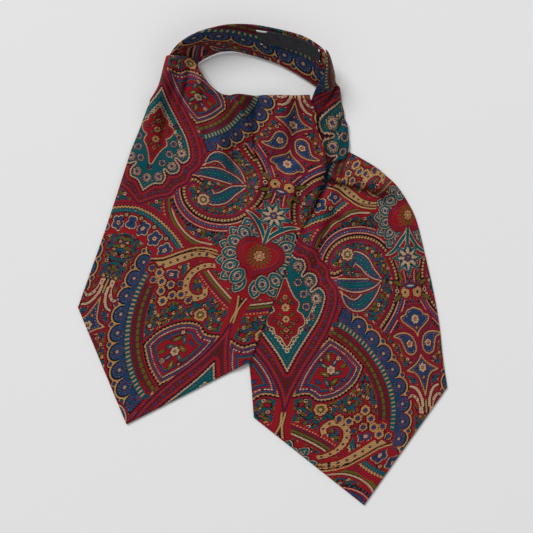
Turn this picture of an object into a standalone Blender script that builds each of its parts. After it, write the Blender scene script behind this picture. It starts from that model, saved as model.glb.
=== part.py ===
"""Silk cravat laid flat on a table, face up, with its neckband standing in a loop.

Lengths are in millimetres and become metres when a mesh is made. X runs to the right and Y up
the cravat, towards the back of the neck, as it lies. Z is up, and the table is at Z = 0.
Every piece is a wall of cloth on a grid of rows, worked out from a short table of sections.
"""
import bpy
import numpy as np

MILLIMETRE = 0.001
SILK = 1.6              # two layers of silk twill in a blade, with the air between them
PLEATED_SILK = 2.2      # layers of pleats sewn down to a band
LABEL_CLOTH = 1.0
SEAM_GAP = 0.3

# Middle of the finished cravat, seen from above, in the tables' own millimetres
MIDDLE = (0.45, -2.55)

OVER_TILT = (0.387, 0.922)      # direction up the over blade's middle
UNDER_TILT = (-0.130, 0.9915)    # direction up the under blade's middle

# Sections of the over blade from its point to the neck. The point's depth is how far the section
# dips in its middle, the crest is its height beside the left edge, the rise that at the right edge
OVER_BLADE_ROWS = (
    # left x, left y, right x, right y, point depth, crest, rise
    (-152.7, -36.0, -9.6, -81.0, 80.8, 0.0, 0.0),
    (-141.1, -3.3, 4.0, -45.0, 50.0, 0.0, 0.0),
    (-127.2, 36.5, 20.0, -5.0, 22.0, 0.0, 0.0),
    (-114.6, 74.7, 36.5, 36.0, 3.0, 0.0, 0.0),
    (-109.2, 92.0, 50.5, 71.2, 0.0, 0.0, 1.6),
    (-105.6, 101.0, 51.8, 86.0, 0.0, 0.4, 2.6),
    (-101.8, 109.5, 49.8, 99.0, 0.0, 1.2, 3.8),
    (-98.2, 117.5, 45.8, 111.5, 0.0, 2.6, 5.0),
    (-94.6, 125.5, 44.0, 125.0, 0.0, 4.4, 6.4),
    (-91.1, 133.0, 39.4, 135.5, -2.5, 6.0, 8.0),
)
BANK_WIDTH = 0.12               # share of a section's width that the bank at its left edge takes
RISE_POWER = 2.4                # how late along a section the rise to its right edge comes
# The folds at the over blade's top edge and the over neck's front rim roll down by this much
ROLL_DROP = 2.6
ROLL_REACH = 1.2
CREASE_SHARE = 0.84             # share of its height that the over neck keeps where it rolls over

# Sections of the over neck, from the over blade to the crease at the neckband
OVER_NECK_ROWS = (
    # left x, left y, right x, right y, crest, height at the right edge
    (-91.0, 134.6, -24.2, 138.1, 6.0, 7.7),
    (-88.9, 138.0, -33.0, 140.0, 8.4, 9.0),
    (-86.6, 141.8, -41.0, 145.2, 11.0, 11.2),
    (-84.4, 145.6, -47.2, 151.8, 13.4, 13.4),
    (-82.4, 149.4, -52.6, 160.6, 15.0, 15.0),
)

# Sections of the under blade from its point to the neck
UNDER_BLADE_ROWS = (
    # left x, left y, right x, right y, point depth
    (-6.8, -127.3, 153.6, -102.1, 86.0),
    (-8.8, -102.0, 149.8, -76.0, 65.0),
    (-12.0, -70.0, 147.0, -50.0, 44.0),
    (-16.8, -38.0, 142.0, -22.0, 18.0),
    (-20.0, -6.0, 135.3, 7.5, 3.0),
    (-18.3, 22.0, 127.6, 37.5, 0.0),
    (-10.0, 46.0, 119.4, 53.5, 0.0),
    (2.0, 62.0, 109.6, 67.0, 0.0),
    (15.0, 73.0, 97.0, 77.8, 0.0),
    (28.0, 80.0, 84.0, 86.6, 0.0),
    (44.0, 86.0, 72.2, 93.0, 0.0),
)

# Sections of the neckband from the crease on the left to the corner on the right, on its inner face
NECKBAND_ROWS = (
    # bottom x, bottom y, top x, top y, top height
    (-56.4, 160.6, -77.2, 151.0, 10.8),
    (-53.4, 164.4, -78.0, 157.6, 14.0),
    (-49.6, 168.2, -76.0, 166.0, 19.0),
    (-41.5, 172.4, -70.8, 174.0, 24.0),
    (-33.2, 175.1, -62.4, 181.0, 26.4),
    (-22.4, 175.5, -49.6, 187.4, 27.2),
    (-10.0, 172.6, -29.6, 192.4, 27.4),
    (2.5, 168.9, -9.6, 192.8, 27.4),
    (14.9, 164.3, 10.4, 189.6, 27.4),
    (27.4, 157.7, 30.2, 184.6, 27.4),
    (38.2, 151.1, 40.0, 179.8, 27.4),
    (46.6, 145.6, 46.6, 175.2, 27.0),
    (54.0, 142.6, 50.0, 171.0, 27.0),
    (60.4, 140.6, 53.0, 168.0, 25.2),
)
NECKBAND_FOOT = 2.0             # height of the inner face's bottom edge, where the band stands
NECKBAND_BELLY = 1.6            # how far the band's middle bows away from the loop

# Sections of the under neck from the corner on the right to the under blade, on its lower face
UNDER_NECK_ROWS = (
    # outer x, outer y, outer height, inner x, inner y, inner height, bulge
    (52.6, 171.4, 27.0, 51.0, 173.2, 28.4, 0.0),
    (55.6, 164.3, 21.6, 51.8, 166.0, 28.4, 1.0),
    (58.2, 156.9, 14.0, 51.0, 157.8, 27.4, 1.6),
    (60.6, 149.4, 7.0, 48.0, 151.3, 24.6, 2.4),
    (62.8, 142.8, 2.0, 43.9, 144.0, 20.2, 3.0),
    (65.0, 135.3, 0.0, 40.6, 135.6, 12.0, 3.4),
    (68.4, 122.0, 0.0, 37.6, 125.1, 7.6, 3.4),
    (71.0, 108.7, 0.0, 38.4, 110.6, 5.2, 3.0),
    (71.6, 97.0, 1.6, 43.0, 95.6, 3.4, 2.2),
    (68.6, 87.0, 2.2, 49.7, 83.0, 2.2, 1.0),
)
UNDER_NECK_LENGTH = 95.0
UNDER_NECK_WIDTH = 27.0
# Creases between the under neck's pleats, measured along it and in from its outer edge
UNDER_NECK_CREASES = (
    # start along, start in, end along, end in, half width, height
    (24.0, 0.0, 68.0, 18.0, 4.0, -1.5),
    (60.0, -1.0, 92.0, 23.0, 4.0, -1.6),
)

# Soft ridges in the blades. A ridge runs from its start to its end and dies out at both
OVER_BLADE_RIDGES = (
    # start x, start y, end x, end y, half width, height
    (8.0, 132.0, 2.0, 66.0, 17.0, 3.0),
    (-60.0, 131.0, -46.0, 34.0, 22.0, 3.4),
    (-96.0, 96.0, -120.0, 30.0, 15.0, 1.6),
)
UNDER_BLADE_RIDGES = (
    # start x, start y, end x, end y, half width, height
    (56.0, 46.0, 108.0, 36.0, 14.0, 5.0),
    (76.0, 82.0, 114.0, 58.0, 10.0, 4.0),
    (92.0, 20.0, 104.0, -52.0, 20.0, 2.2),
)

# Where the label lies on the neckband's inner face, as shares of its length and width
LABEL_REACH = (0.545, 0.86)
LABEL_FOOT = (0.40, 0.60)       # share of the width at the label's lower edge, left and right end
LABEL_HEAD = (0.84, 0.94)       # the same at its upper edge

PRINTED_SILK = (0.30, 0.02, 0.03)
BLACK_SATIN = (0.012, 0.012, 0.014)


def clear_scene():
    """Removes the objects that a new file opens with."""
    for old in list(bpy.data.objects):
        bpy.data.objects.remove(old, do_unlink=True)


def cloth_material(name, colour, roughness):
    """A plain cloth with this linear colour."""
    material = bpy.data.materials.new(name)
    material.use_nodes = True
    shader = material.node_tree.nodes["Principled BSDF"]
    shader.inputs["Base Color"].default_value = (*colour, 1.0)
    shader.inputs["Roughness"].default_value = roughness
    shader.inputs["Metallic"].default_value = 0.0
    return material


def between_rows(rows, places):
    """Rows read off Catmull-Rom curves through the table's rows; a place of 0 is the first row, 1 the last."""
    rows = np.array(rows, dtype=float)
    before = 2 * rows[0] - rows[1]
    after = 2 * rows[-1] - rows[-2]
    padded = np.vstack([before, rows, after])
    steps = np.asarray(places) * (len(rows) - 1)
    first = np.minimum(steps.astype(int), len(rows) - 2)
    share = (steps - first)[:, None]
    a, b, c, d = (padded[first + k] for k in range(4))
    return 0.5 * (2 * b + (c - a) * share + (2 * a - 5 * b + 4 * c - d) * share**2
                  + (3 * b - 3 * c + d - a) * share**3)


def ease(share):
    """0 below 0, 1 above 1, and a smooth climb between them."""
    share = np.clip(share, 0.0, 1.0)
    return share * share * (3.0 - 2.0 * share)


def ridges(x, y, table):
    """Height of the soft ridges at each place: a cosine bump across a ridge, dying out towards its ends."""
    height = np.zeros_like(x)
    for start_x, start_y, end_x, end_y, half_width, top in table:
        run_x, run_y = end_x - start_x, end_y - start_y
        length = np.hypot(run_x, run_y)
        along = ((x - start_x) * run_x + (y - start_y) * run_y) / length**2
        aside = ((x - start_x) * run_y - (y - start_y) * run_x) / length
        across = np.cos(np.clip(aside / half_width, -1.0, 1.0) * np.pi / 2) ** 2
        fade = np.cos(np.clip(2 * along - 1, -1.0, 1.0) * np.pi / 2) ** 2
        height += top * across * fade
    return height


def cross_sections(rows, columns, tilt):
    """Places on straight sections between the left and right edges, dipping in the middle by the point's depth."""
    share = np.linspace(0.0, 1.0, columns)[None, :]
    left_x, left_y, right_x, right_y, depth = (rows[:, k:k + 1] for k in range(5))
    dip = depth * (1.0 - np.abs(2.0 * share - 1.0))
    x = left_x + (right_x - left_x) * share - dip * tilt[0]
    y = left_y + (right_y - left_y) * share - dip * tilt[1]
    return share, x, y


def bank(share, width):
    """Rounded bank at the left edge: up a quarter ellipse, then level."""
    return np.sqrt(1.0 - np.clip(1.0 - share / width, 0.0, 1.0) ** 2)


def over_blade_surface():
    """Lower face of the over blade: flat on the table, lifted over the under blade and the under neck."""
    rows = between_rows(OVER_BLADE_ROWS, np.linspace(0.0, 1.0, 28))
    share, x, y = cross_sections(rows, 19, OVER_TILT)
    crest, rise = rows[:, 5:6], rows[:, 6:7]
    under_edge = np.array(UNDER_BLADE_ROWS)
    edge_x = np.interp(y, under_edge[:, 1], under_edge[:, 0])
    step = (SILK + SEAM_GAP + 0.2) * ease((x - edge_x + 22.0) / 18.0)
    z = step + np.maximum(crest, 0.0) * bank(share, BANK_WIDTH) + np.maximum(rise, 0.0) * share**RISE_POWER
    z += ridges(x, y, OVER_BLADE_RIDGES)
    grid = np.stack([x, y, z], axis=-1)
    rolled = grid[-1:].copy()
    rolled[..., 1] += ROLL_REACH
    rolled[..., 2] -= ROLL_DROP * ease((share - 0.5) / 0.1)
    return np.vstack([grid, rolled])


def over_neck_surface():
    """Lower face of the over neck: an arch from the table on the left to the loop's front rim."""
    rows = between_rows(OVER_NECK_ROWS, np.linspace(0.0, 1.0, 9))
    flat_rows = np.hstack([rows[:, :4], np.zeros((len(rows), 1))])
    share, x, y = cross_sections(flat_rows, 15, OVER_TILT)
    crest, right = rows[:, 4:5], rows[:, 5:6]
    z = crest * bank(share, 2.0 * BANK_WIDTH) + (right - crest) * share**RISE_POWER
    z -= ROLL_DROP * ease((share - 0.93) / 0.07)
    grid = np.stack([x, y, z], axis=-1)
    rolled = grid[-1:].copy()
    rolled[..., 1] += ROLL_REACH
    rolled[..., 2] *= CREASE_SHARE
    return np.vstack([grid, rolled])


def under_blade_surface():
    """Lower face of the under blade: flat on the table, with a deep fold below the neck."""
    rows = between_rows(UNDER_BLADE_ROWS, np.linspace(0.0, 1.0, 30))
    _, x, y = cross_sections(rows, 19, UNDER_TILT)
    z = ridges(x, y, UNDER_BLADE_RIDGES)
    return np.stack([x, y, z], axis=-1)


def neckband_surface(places, widths):
    """Inner face of the neckband at shares of its length and width: straight across, with a slight belly."""
    rows = between_rows(NECKBAND_ROWS, places)
    foot_x, foot_y, head_x, head_y, head_z = (rows[:, k:k + 1] for k in range(5))
    lean_x, lean_y = head_x - foot_x, head_y - foot_y
    belly = 1.0 + NECKBAND_BELLY / 25.0 * np.sin(np.pi * widths) / np.maximum(widths, 0.2)
    x = foot_x + lean_x * widths * belly
    y = foot_y + lean_y * widths * belly
    z = NECKBAND_FOOT + (head_z - NECKBAND_FOOT) * widths
    return np.stack([x, y, z], axis=-1)


def under_neck_surface():
    """Lower face of the under neck: it turns over from a standing wall to lie on the under blade."""
    rows = between_rows(UNDER_NECK_ROWS, np.linspace(0.0, 1.0, 26))
    share = np.linspace(0.0, 1.0, 17)[None, :]
    outer, inner, bulge = rows[:, None, 0:3], rows[:, None, 3:6], rows[:, 6:7]
    grid = outer + (inner - outer) * share[..., None]
    along = np.linspace(0.0, UNDER_NECK_LENGTH, len(rows))[:, None] + 0.0 * share
    inward = UNDER_NECK_WIDTH * share + 0.0 * along
    arch = bulge * np.sin(np.pi * share) + ridges(along, inward, UNDER_NECK_CREASES)
    grid[..., 0] += 0.45 * arch
    grid[..., 2] += 0.9 * arch
    grid[..., 2] = np.maximum(grid[..., 2], 0.0)
    return grid


def normals_of(grid):
    """Unit normals of a grid of points, from the directions along its sections and across them."""
    along = np.gradient(grid, axis=0)
    across = np.gradient(grid, axis=1)
    normal = np.cross(across, along)
    return normal / np.linalg.norm(normal, axis=-1, keepdims=True)


def wall_between(lower, upper):
    """Vertices and faces of the closed wall between two grids, with its faces pointing out."""
    rows, columns = lower.shape[:2]
    number = np.arange(rows * columns).reshape(rows, columns)
    above = number + rows * columns
    corners = (number[:-1, :-1], number[:-1, 1:], number[1:, 1:], number[1:, :-1])
    under_faces = np.stack([corner.ravel() for corner in reversed(corners)], axis=1)
    upper_faces = np.stack([corner.ravel() + rows * columns for corner in corners], axis=1)
    ring = np.concatenate([number[0, :], number[1:, -1], number[-1, -2::-1], number[-2:0:-1, 0]])
    ring_above = np.concatenate([above[0, :], above[1:, -1], above[-1, -2::-1], above[-2:0:-1, 0]])
    after, after_above = np.roll(ring, -1), np.roll(ring_above, -1)
    side_faces = np.stack([ring, after, after_above, ring_above], axis=1)
    vertices = np.concatenate([lower.reshape(-1, 3), upper.reshape(-1, 3)])
    return vertices, np.concatenate([under_faces, upper_faces, side_faces])


def add_cloth(name, lower, thickness, material, square_row=None):
    """Adds a wall of cloth whose first face is the grid and whose second lies outside it.

    The square row, where there is one, is cut upright across Y, to face its neighbour at a seam.
    """
    normal = normals_of(lower)
    if square_row is not None:
        normal[square_row, :, 1] = 0.0
        normal[square_row] /= np.linalg.norm(normal[square_row], axis=-1, keepdims=True)
    upper = lower + normal * thickness
    vertices, faces = wall_between(lower, upper)
    vertices = vertices - np.array([MIDDLE[0], MIDDLE[1], 0.0])
    mesh = bpy.data.meshes.new(name)
    mesh.from_pydata((vertices * MILLIMETRE).tolist(), [], faces.tolist())
    mesh.materials.append(material)
    mesh.shade_smooth()
    mesh.set_sharp_from_angle(angle=np.radians(40.0))
    piece = bpy.data.objects.new(name, mesh)
    bpy.context.scene.collection.objects.link(piece)
    return piece


clear_scene()
silk = cloth_material("printed silk twill", PRINTED_SILK, 0.55)
satin = cloth_material("black label satin", BLACK_SATIN, 0.4)

add_cloth("under_blade", under_blade_surface(), SILK, silk)
add_cloth("over_blade", over_blade_surface(), SILK, silk, square_row=-1)
add_cloth("over_neck", over_neck_surface(), SILK, silk, square_row=0)
add_cloth("under_neck", under_neck_surface(), SILK, silk)

band_face = neckband_surface(np.linspace(0.0, 1.0, 40), np.linspace(0.0, 1.0, 8)[None, :])
add_cloth("neckband", band_face, PLEATED_SILK, silk)

label_places = np.linspace(*LABEL_REACH, 12)
label_share = np.linspace(0.0, 1.0, 12)[:, None]
label_foot = LABEL_FOOT[0] + (LABEL_FOOT[1] - LABEL_FOOT[0]) * label_share
label_head = LABEL_HEAD[0] + (LABEL_HEAD[1] - LABEL_HEAD[0]) * label_share
label_widths = label_foot + (label_head - label_foot) * np.linspace(0.0, 1.0, 5)[None, :]
label_seat = neckband_surface(label_places, label_widths)
label_face = label_seat - normals_of(label_seat) * (LABEL_CLOTH + SEAM_GAP)
add_cloth("label", label_face, LABEL_CLOTH, satin)
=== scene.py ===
"""Printed silk day cravat laid flat, seen from straight above. Metres, +Z up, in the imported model's frame.

Cloth is worked out in millimetres in the cut's own table frame, and becomes metres in the frame when its mesh
is made. One ply of silk is one sheet: a blade is a face ply and a back ply that meet at its turned edge.
"""
import bpy
import numpy as np
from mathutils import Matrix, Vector


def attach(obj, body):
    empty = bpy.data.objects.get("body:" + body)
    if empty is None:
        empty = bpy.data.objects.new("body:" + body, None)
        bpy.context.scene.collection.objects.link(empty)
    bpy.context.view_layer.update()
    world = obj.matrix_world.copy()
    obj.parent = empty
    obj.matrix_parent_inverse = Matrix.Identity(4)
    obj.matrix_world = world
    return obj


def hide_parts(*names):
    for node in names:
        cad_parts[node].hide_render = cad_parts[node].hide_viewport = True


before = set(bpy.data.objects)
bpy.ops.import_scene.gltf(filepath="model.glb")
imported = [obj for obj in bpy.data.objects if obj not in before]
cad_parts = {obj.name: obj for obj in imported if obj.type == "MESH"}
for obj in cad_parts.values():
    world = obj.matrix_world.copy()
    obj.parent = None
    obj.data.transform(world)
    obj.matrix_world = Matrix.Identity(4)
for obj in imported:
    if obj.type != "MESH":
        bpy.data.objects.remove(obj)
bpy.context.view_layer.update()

MILLIMETRE = 0.001

# Camera, floor and light
# The photo looks straight down on a pale table from about a metre above it. A large soft light
# stands to the upper left, a weaker one to the right, and a pale room fills the shadows.
PHOTO_PIXELS = 533
PHOTO_SCALE = 0.83              # mm of cloth for one pixel of the photo
CAMERA_PLACE = (3.285, 0.475)   # mm, above this place
CAMERA_HEIGHT = 1050.0
SENSOR_WIDTH = 36.0


def linear(code):
    """Linear red, green and blue of an sRGB hex colour."""
    share = np.array([int(code[k:k + 2], 16) for k in (0, 2, 4)]) / 255.0
    return np.where(share <= 0.04045, share / 12.92, ((share + 0.055) / 1.055) ** 2.4)


def add_node(tree, kind, inputs=None, **settings):
    """Adds a node with its settings; each input is a value, or the socket that feeds it."""
    node = tree.nodes.new(kind)
    for name, value in settings.items():
        setattr(node, name, value)
    for name, value in (inputs or {}).items():
        if isinstance(value, bpy.types.NodeSocket):
            tree.links.new(value, node.inputs[name])
        else:
            node.inputs[name].default_value = value
    return node


def new_material(name):
    """A material with only its output node."""
    material = bpy.data.materials.new(name)
    material.use_nodes = True
    tree = material.node_tree
    tree.nodes.clear()
    return material, tree, tree.nodes.new("ShaderNodeOutputMaterial")


camera_data = bpy.data.cameras.new("camera")
camera_data.sensor_width = SENSOR_WIDTH
camera_data.lens = SENSOR_WIDTH * CAMERA_HEIGHT / (PHOTO_PIXELS * PHOTO_SCALE)
camera_data.clip_start = 0.1
camera = bpy.data.objects.new("camera", camera_data)
camera.location = np.array([*CAMERA_PLACE, CAMERA_HEIGHT]) * MILLIMETRE
bpy.context.scene.collection.objects.link(camera)
bpy.context.scene.camera = camera
bpy.context.scene.view_settings.view_transform = "Standard"

FLOOR_HALF = 12.0               # m from its middle to its edges, out past the picture
FLOOR_DROP = -0.0004            # m, so that the cloth's underside doesn't flicker with it
floor_mesh = bpy.data.meshes.new("floor")
floor_corners = [
    (x * FLOOR_HALF, y * FLOOR_HALF, FLOOR_DROP) for x, y in ((-1, -1), (1, -1), (1, 1), (-1, 1))]
floor_mesh.from_pydata(floor_corners, [], [(0, 1, 2, 3)])
floor = bpy.data.objects.new("floor", floor_mesh)
bpy.context.scene.collection.objects.link(floor)
# Matt pale paper: no gloss, so that the cloth stands out on it
floor_material, tree, output = new_material("pale matt paper")
paper = add_node(tree, "ShaderNodeBsdfPrincipled", {
    "Base Color": (*linear("e6e6e6"), 1.0), "Roughness": 0.9, "Specular IOR Level": 0.1})
tree.links.new(paper.outputs[0], output.inputs["Surface"])
floor_mesh.materials.append(floor_material)

LIGHTS = (
    # name, x, y, z and side in metres, watts
    ("key softbox", -3.8, 5.6, 6.4, 4.4, 750.0),
    ("fill softbox", 3.8, -2.6, 5.0, 4.0, 40.0),
)
for name, x, y, z, side, watts in LIGHTS:
    light_data = bpy.data.lights.new(name, "AREA")
    light_data.size = side
    light_data.energy = watts
    light = bpy.data.objects.new(name, light_data)
    light.location = (x, y, z)
    light.rotation_euler = Vector((x, y, z)).to_track_quat("Z", "Y").to_euler()
    bpy.context.scene.collection.objects.link(light)

world = bpy.data.worlds.new("pale room")
world.use_nodes = True
world.node_tree.nodes["Background"].inputs["Color"].default_value = (*linear("f6f6f6"), 1.0)
world.node_tree.nodes["Background"].inputs["Strength"].default_value = 0.355
bpy.context.scene.world = world

# The print
# A traditional paisley, screen printed in eight inks on red silk before the cloth is cut. The motifs are
# mirrored about columns that lie side by side at half drop. Each is drawn from its own lines and curves,
# in millimetres: u across the cloth from the column, v along it from the heart flower.
COLUMN = 118.0          # mm from one column of motifs to the next
HALF_DROP = 224.0       # mm that each column is shifted from its neighbours
KNOT = 59.0             # where the fan's centre lies along a column
INKS = ("brown", "purple", "olive", "teal", "blue", "tan", "cream", "navy")
PALE_LOSS = 0.12        # mm that the pale inks' shapes lose at their edges to the darker inks round them


def between_rows(rows, places):
    """Rows read off Catmull-Rom curves through the table's rows: place 0 is the first row, 1 the last."""
    rows = np.array(rows, dtype=float)
    padded = np.vstack([2 * rows[0] - rows[1], rows, 2 * rows[-1] - rows[-2]])
    steps = np.asarray(places) * (len(rows) - 1)
    first = np.minimum(steps.astype(int), len(rows) - 2)
    share = (steps - first)[:, None]
    a, b, c, d = (padded[first + k] for k in range(4))
    return 0.5 * (2 * b + (c - a) * share + (2 * a - 5 * b + 4 * c - d) * share**2
                  + (3 * b - 3 * c + d - a) * share**3)


def print_ink(screens, shape, ink):
    """Prints a shape, positive inside: its screen opens there and every other one closes. Red needs none."""
    shape = shape - PALE_LOSS * (ink in ("tan", "cream"))
    own = None if ink == "red" else np.maximum(screens[INKS.index(ink)], shape)
    np.minimum(screens, -shape, out=screens)
    if own is not None:
        screens[INKS.index(ink)] = own


def print_nest(screens, depth, *layers):
    """Prints shapes inside each other: each layer starts at its own depth in mm and runs inwards."""
    for start, ink in layers:
        print_ink(screens, depth - start, ink)


def print_strips(screens, aside, *strips):
    """Prints strips side by side: each runs from one distance beside a line to another."""
    for low, high, ink in strips:
        print_ink(screens, np.minimum(aside - low, high - aside), ink)


def print_dots(screens, u, v, spots, *layers):
    """Prints the same nested round dot at each spot; the layers' depths are from the dot's own edge."""
    for spot_u, spot_v, radius in spots:
        print_nest(screens, radius - np.hypot(u - spot_u, v - spot_v), *layers)


def by_curve(u, v, points, steps=8):
    """Place beside a smooth curve: length along it, distance aside (positive on its left), depth inside it.

    The curve is cut into short straight steps, and the nearest one gives the length and the distance. The
    depth is that distance, positive where a line towards +u crosses the curve an odd number of times. Past
    an open curve's ends the distance aside is made large, so that strips end there.
    """
    curve = between_rows(points, np.linspace(0.0, 1.0, (len(points) - 1) * steps + 1))
    start, end = curve[:-1, :, None], curve[1:, :, None]
    run = end - start
    length = np.hypot(run[:, 0], run[:, 1])
    off_u, off_v = u[None, :] - start[:, 0], v[None, :] - start[:, 1]
    share = (off_u * run[:, 0] + off_v * run[:, 1]) / length**2
    held = np.clip(share, 0.0, 1.0)
    distance = np.hypot(off_u - held * run[:, 0], off_v - held * run[:, 1])
    nearest = distance.argmin(axis=0)
    pick = (nearest, np.arange(len(u)))
    left = np.sign(off_v * run[:, 0] - off_u * run[:, 1])[pick]
    before = np.concatenate([[0.0], np.cumsum(length[:, 0])])
    along = before[nearest] + (held * length)[pick]
    past = ((nearest == 0) & (share[0] < -0.05)) | ((nearest == len(length) - 1) & (share[-1] > 1.05))
    aside = distance[pick] * np.where(left == 0, 1.0, left)
    level = (start[:, 1] > v) != (end[:, 1] > v)
    rise = np.where(np.abs(run[:, 1]) < 1e-9, 1e-9, run[:, 1])
    crosses = level & (u < start[:, 0] + off_v / rise * run[:, 0])
    inside = crosses.sum(axis=0) % 2 == 1
    return along, np.where(past, 99.0, aside), distance[pick] * np.where(inside, 1.0, -1.0)


def wave(along, pitch):
    """A zigzag between -1 and 1 with this pitch."""
    return 4.0 * np.abs((along / pitch) % 1.0 - 0.5) - 1.0


def bead(along, aside, pitch, place, radius):
    """A row of round beads with this pitch beside a line."""
    return radius - np.hypot(((along / pitch) % 1.0 - 0.5) * pitch, aside - place)


def petal(u, v, centre_u, centre_v, turn, length, width):
    """A leaf between two equal arcs, pointed at both ends, turned from the v axis towards u."""
    along = (u - centre_u) * np.sin(turn) + (v - centre_v) * np.cos(turn)
    aside = (u - centre_u) * np.cos(turn) - (v - centre_v) * np.sin(turn)
    radius = (length**2 / 4.0 + width**2 / 4.0) / width
    return radius - np.hypot(along, np.abs(aside) + radius - width / 2.0)


def rosette(u, v, centre_u, centre_v, radius, lobes, depth):
    """A round flower with this many lobes."""
    off_u, off_v = u - centre_u, v - centre_v
    lobe = 1.0 - depth * (1.0 - np.abs(np.cos(np.arctan2(off_u, off_v) * lobes / 2.0)))
    return radius * lobe - np.hypot(off_u, off_v)


def print_flowers(screens, u, v, flowers, lobes, cut, rim, eye):
    """Prints flowers of their own radii: rim layers start in from the edge, eye layers from the middle."""
    for centre_u, centre_v, radius in flowers:
        layers = rim + tuple((radius - start, ink) for start, ink in eye)
        print_nest(screens, rosette(u, v, centre_u, centre_v, radius, lobes, cut), *layers)


def print_leaves(screens, u, v, leaves, length, width, *layers):
    """Prints leaves of one size, each at its own place and turn."""
    for centre_u, centre_v, turn in leaves:
        print_nest(screens, petal(u, v, centre_u, centre_v, turn, length, width), *layers)


FILLER_CELL = 7.6           # mm, pitch of the strewn leaves and flowers


def filler(screens, u, v):
    """Leaves, buds and small flowers strewn over the ground: a group in each cell, turned its own way."""
    for shift in (0.0, 0.5):
        row = np.floor(v / FILLER_CELL + shift)
        column = np.floor(u / FILLER_CELL + 0.5 * (row % 2) + 0.25 + shift)
        x = u - (column - 0.5 * (row % 2) + 0.25 - shift) * FILLER_CELL
        y = v - (row + 0.5 - shift) * FILLER_CELL
        turn = 2.4 * column + 1.3 * row * (row + 1.0) + 2.0 * shift
        kind = (column + 2.0 * row) % 3.0
        across, up = x * np.cos(turn) - y * np.sin(turn), x * np.sin(turn) + y * np.cos(turn)
        bend = across + 0.16 * up**2
        print_nest(screens, petal(bend, up, 1.7, 0.2, 0.15, 6.8, 3.1), (-0.6, "navy"), (0.0, "teal"))
        print_nest(screens, petal(across, up, -1.9, -1.6, 0.9, 5.4, 2.7), (-0.5, "navy"), (0.0, "olive"))
        print_nest(screens, petal(across, up, 0.4, -3.0, -0.6, 4.2, 1.7), (0.0, "blue"))
        flower = rosette(across, up, -1.3, 2.0, 2.1, 5, 0.3)
        print_nest(
            screens, np.where(kind == 0.0, flower, -9.0), (-0.35, "navy"), (0.1, "cream"), (1.2, "navy"))
        flower = rosette(across, up, -1.4, 1.9, 1.8, 3, 0.4)
        print_nest(screens, np.where(kind == 1.0, flower, -9.0), (-0.4, "navy"), (0.0, "tan"), (1.1, "brown"))


def fan(screens, u, v):
    """Arched bands round the knot: dashes, ticks, and blue discs held in tan scallops."""
    out = np.hypot(u, v - KNOT + 3.0)
    turn = np.arctan2(u, v - KNOT + 3.0)
    ends = np.minimum(turn - np.radians(29.0), np.radians(116.0) - turn) * out
    disc_pitch = np.radians(9.0)
    step = (turn / disc_pitch) % 1.0 - 0.5
    x, y = step * disc_pitch * 96.0, out - 96.0
    round_disc = np.hypot(x, y)

    def arch(shape, *layers):
        print_nest(screens, np.minimum(shape, ends), *layers)

    knob = 2.7 - np.hypot(np.abs(x) - 7.6, y - 6.4)
    scallop = np.maximum(np.minimum(8.7 - round_disc, y + 6.0), knob)
    arch(scallop, (-2.4, "red"), (-0.7, "navy"), (0.0, "tan"))
    arch(knob, (1.0, "navy"), (1.4, "blue"))
    arch(np.minimum(7.1 - round_disc, y + 6.0), (0.0, "navy"))
    arch(np.minimum(out - 89.0, 95.0 - out), (0.0, "blue"))
    arch(
        6.4 - round_disc, (0.0, "navy"), (0.3, "blue"), (2.6, "teal"), (3.2, "navy"), (3.7, "blue"),
        (5.1, "tan"))
    ring = (np.arctan2(x, y) / (np.pi / 6.0)) % 1.0 - 0.5
    arch(0.42 - np.hypot(ring * np.pi / 6.0 * 5.0, round_disc - 5.0), (0.0, "tan"))
    arch(np.minimum(out - 84.6, 90.6 - out), (0.0, "navy"), (0.5, "teal"))
    tick = np.abs((turn / np.radians(2.3)) % 1.0 - 0.5) * np.radians(2.3) * 87.6
    arch(np.minimum(0.72 - tick, 1.9 - np.abs(out - 87.6)), (0.0, "tan"))
    arch(np.minimum(out - 73.6, 84.6 - out), (0.0, "red"), (0.9, "navy"), (1.4, "brown"))
    arch(np.minimum(out - 75.8, 82.4 - out), (0.0, "purple"), (0.6, "brown"))
    dash = np.abs((turn / np.radians(4.0)) % 1.0 - 0.5) * np.radians(4.0) * 79.1
    arch(np.minimum(2.1 - dash, 1.2 - np.abs(out - 79.1)), (0.0, "olive"))
    arch(
        np.minimum(out - 69.8, 73.2 - out) - 9.0 * (v < KNOT + 40.0), (0.0, "red"), (0.5, "purple"),
        (1.1, "red"))


CARTOUCHE = (  # across, beyond the knot
    (4.0, 13.0), (6.0, 25.0), (12.0, 38.0), (21.0, 50.0), (33.5, 61.5), (35.5, 62.5), (50.0, 52.5),
    (62.0, 38.5), (62.3, 36.0), (54.5, 23.0), (40.0, 12.5), (25.0, 9.5), (16.0, 15.0), (4.0, 13.0),
)
CARTOUCHE_LEAVES = (  # across, beyond the knot, turn, length, width, ink
    (31.0, 25.0, -0.5, 9.0, 3.2, "teal"), (37.0, 26.0, 0.9, 9.0, 3.2, "olive"),
    (29.5, 32.0, -1.2, 9.0, 3.4, "olive"), (39.5, 33.0, 1.3, 9.0, 3.4, "teal"),
    (29.0, 39.0, -0.9, 9.0, 3.4, "teal"), (38.0, 41.5, 0.7, 9.0, 3.4, "blue"),
    (33.0, 46.0, -0.1, 9.0, 3.4, "olive"), (45.0, 38.5, 1.0, 7.0, 2.8, "olive"),
    (24.0, 26.0, -1.0, 7.0, 2.6, "blue"), (45.0, 27.0, 1.7, 7.0, 2.6, "blue"),
)


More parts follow.
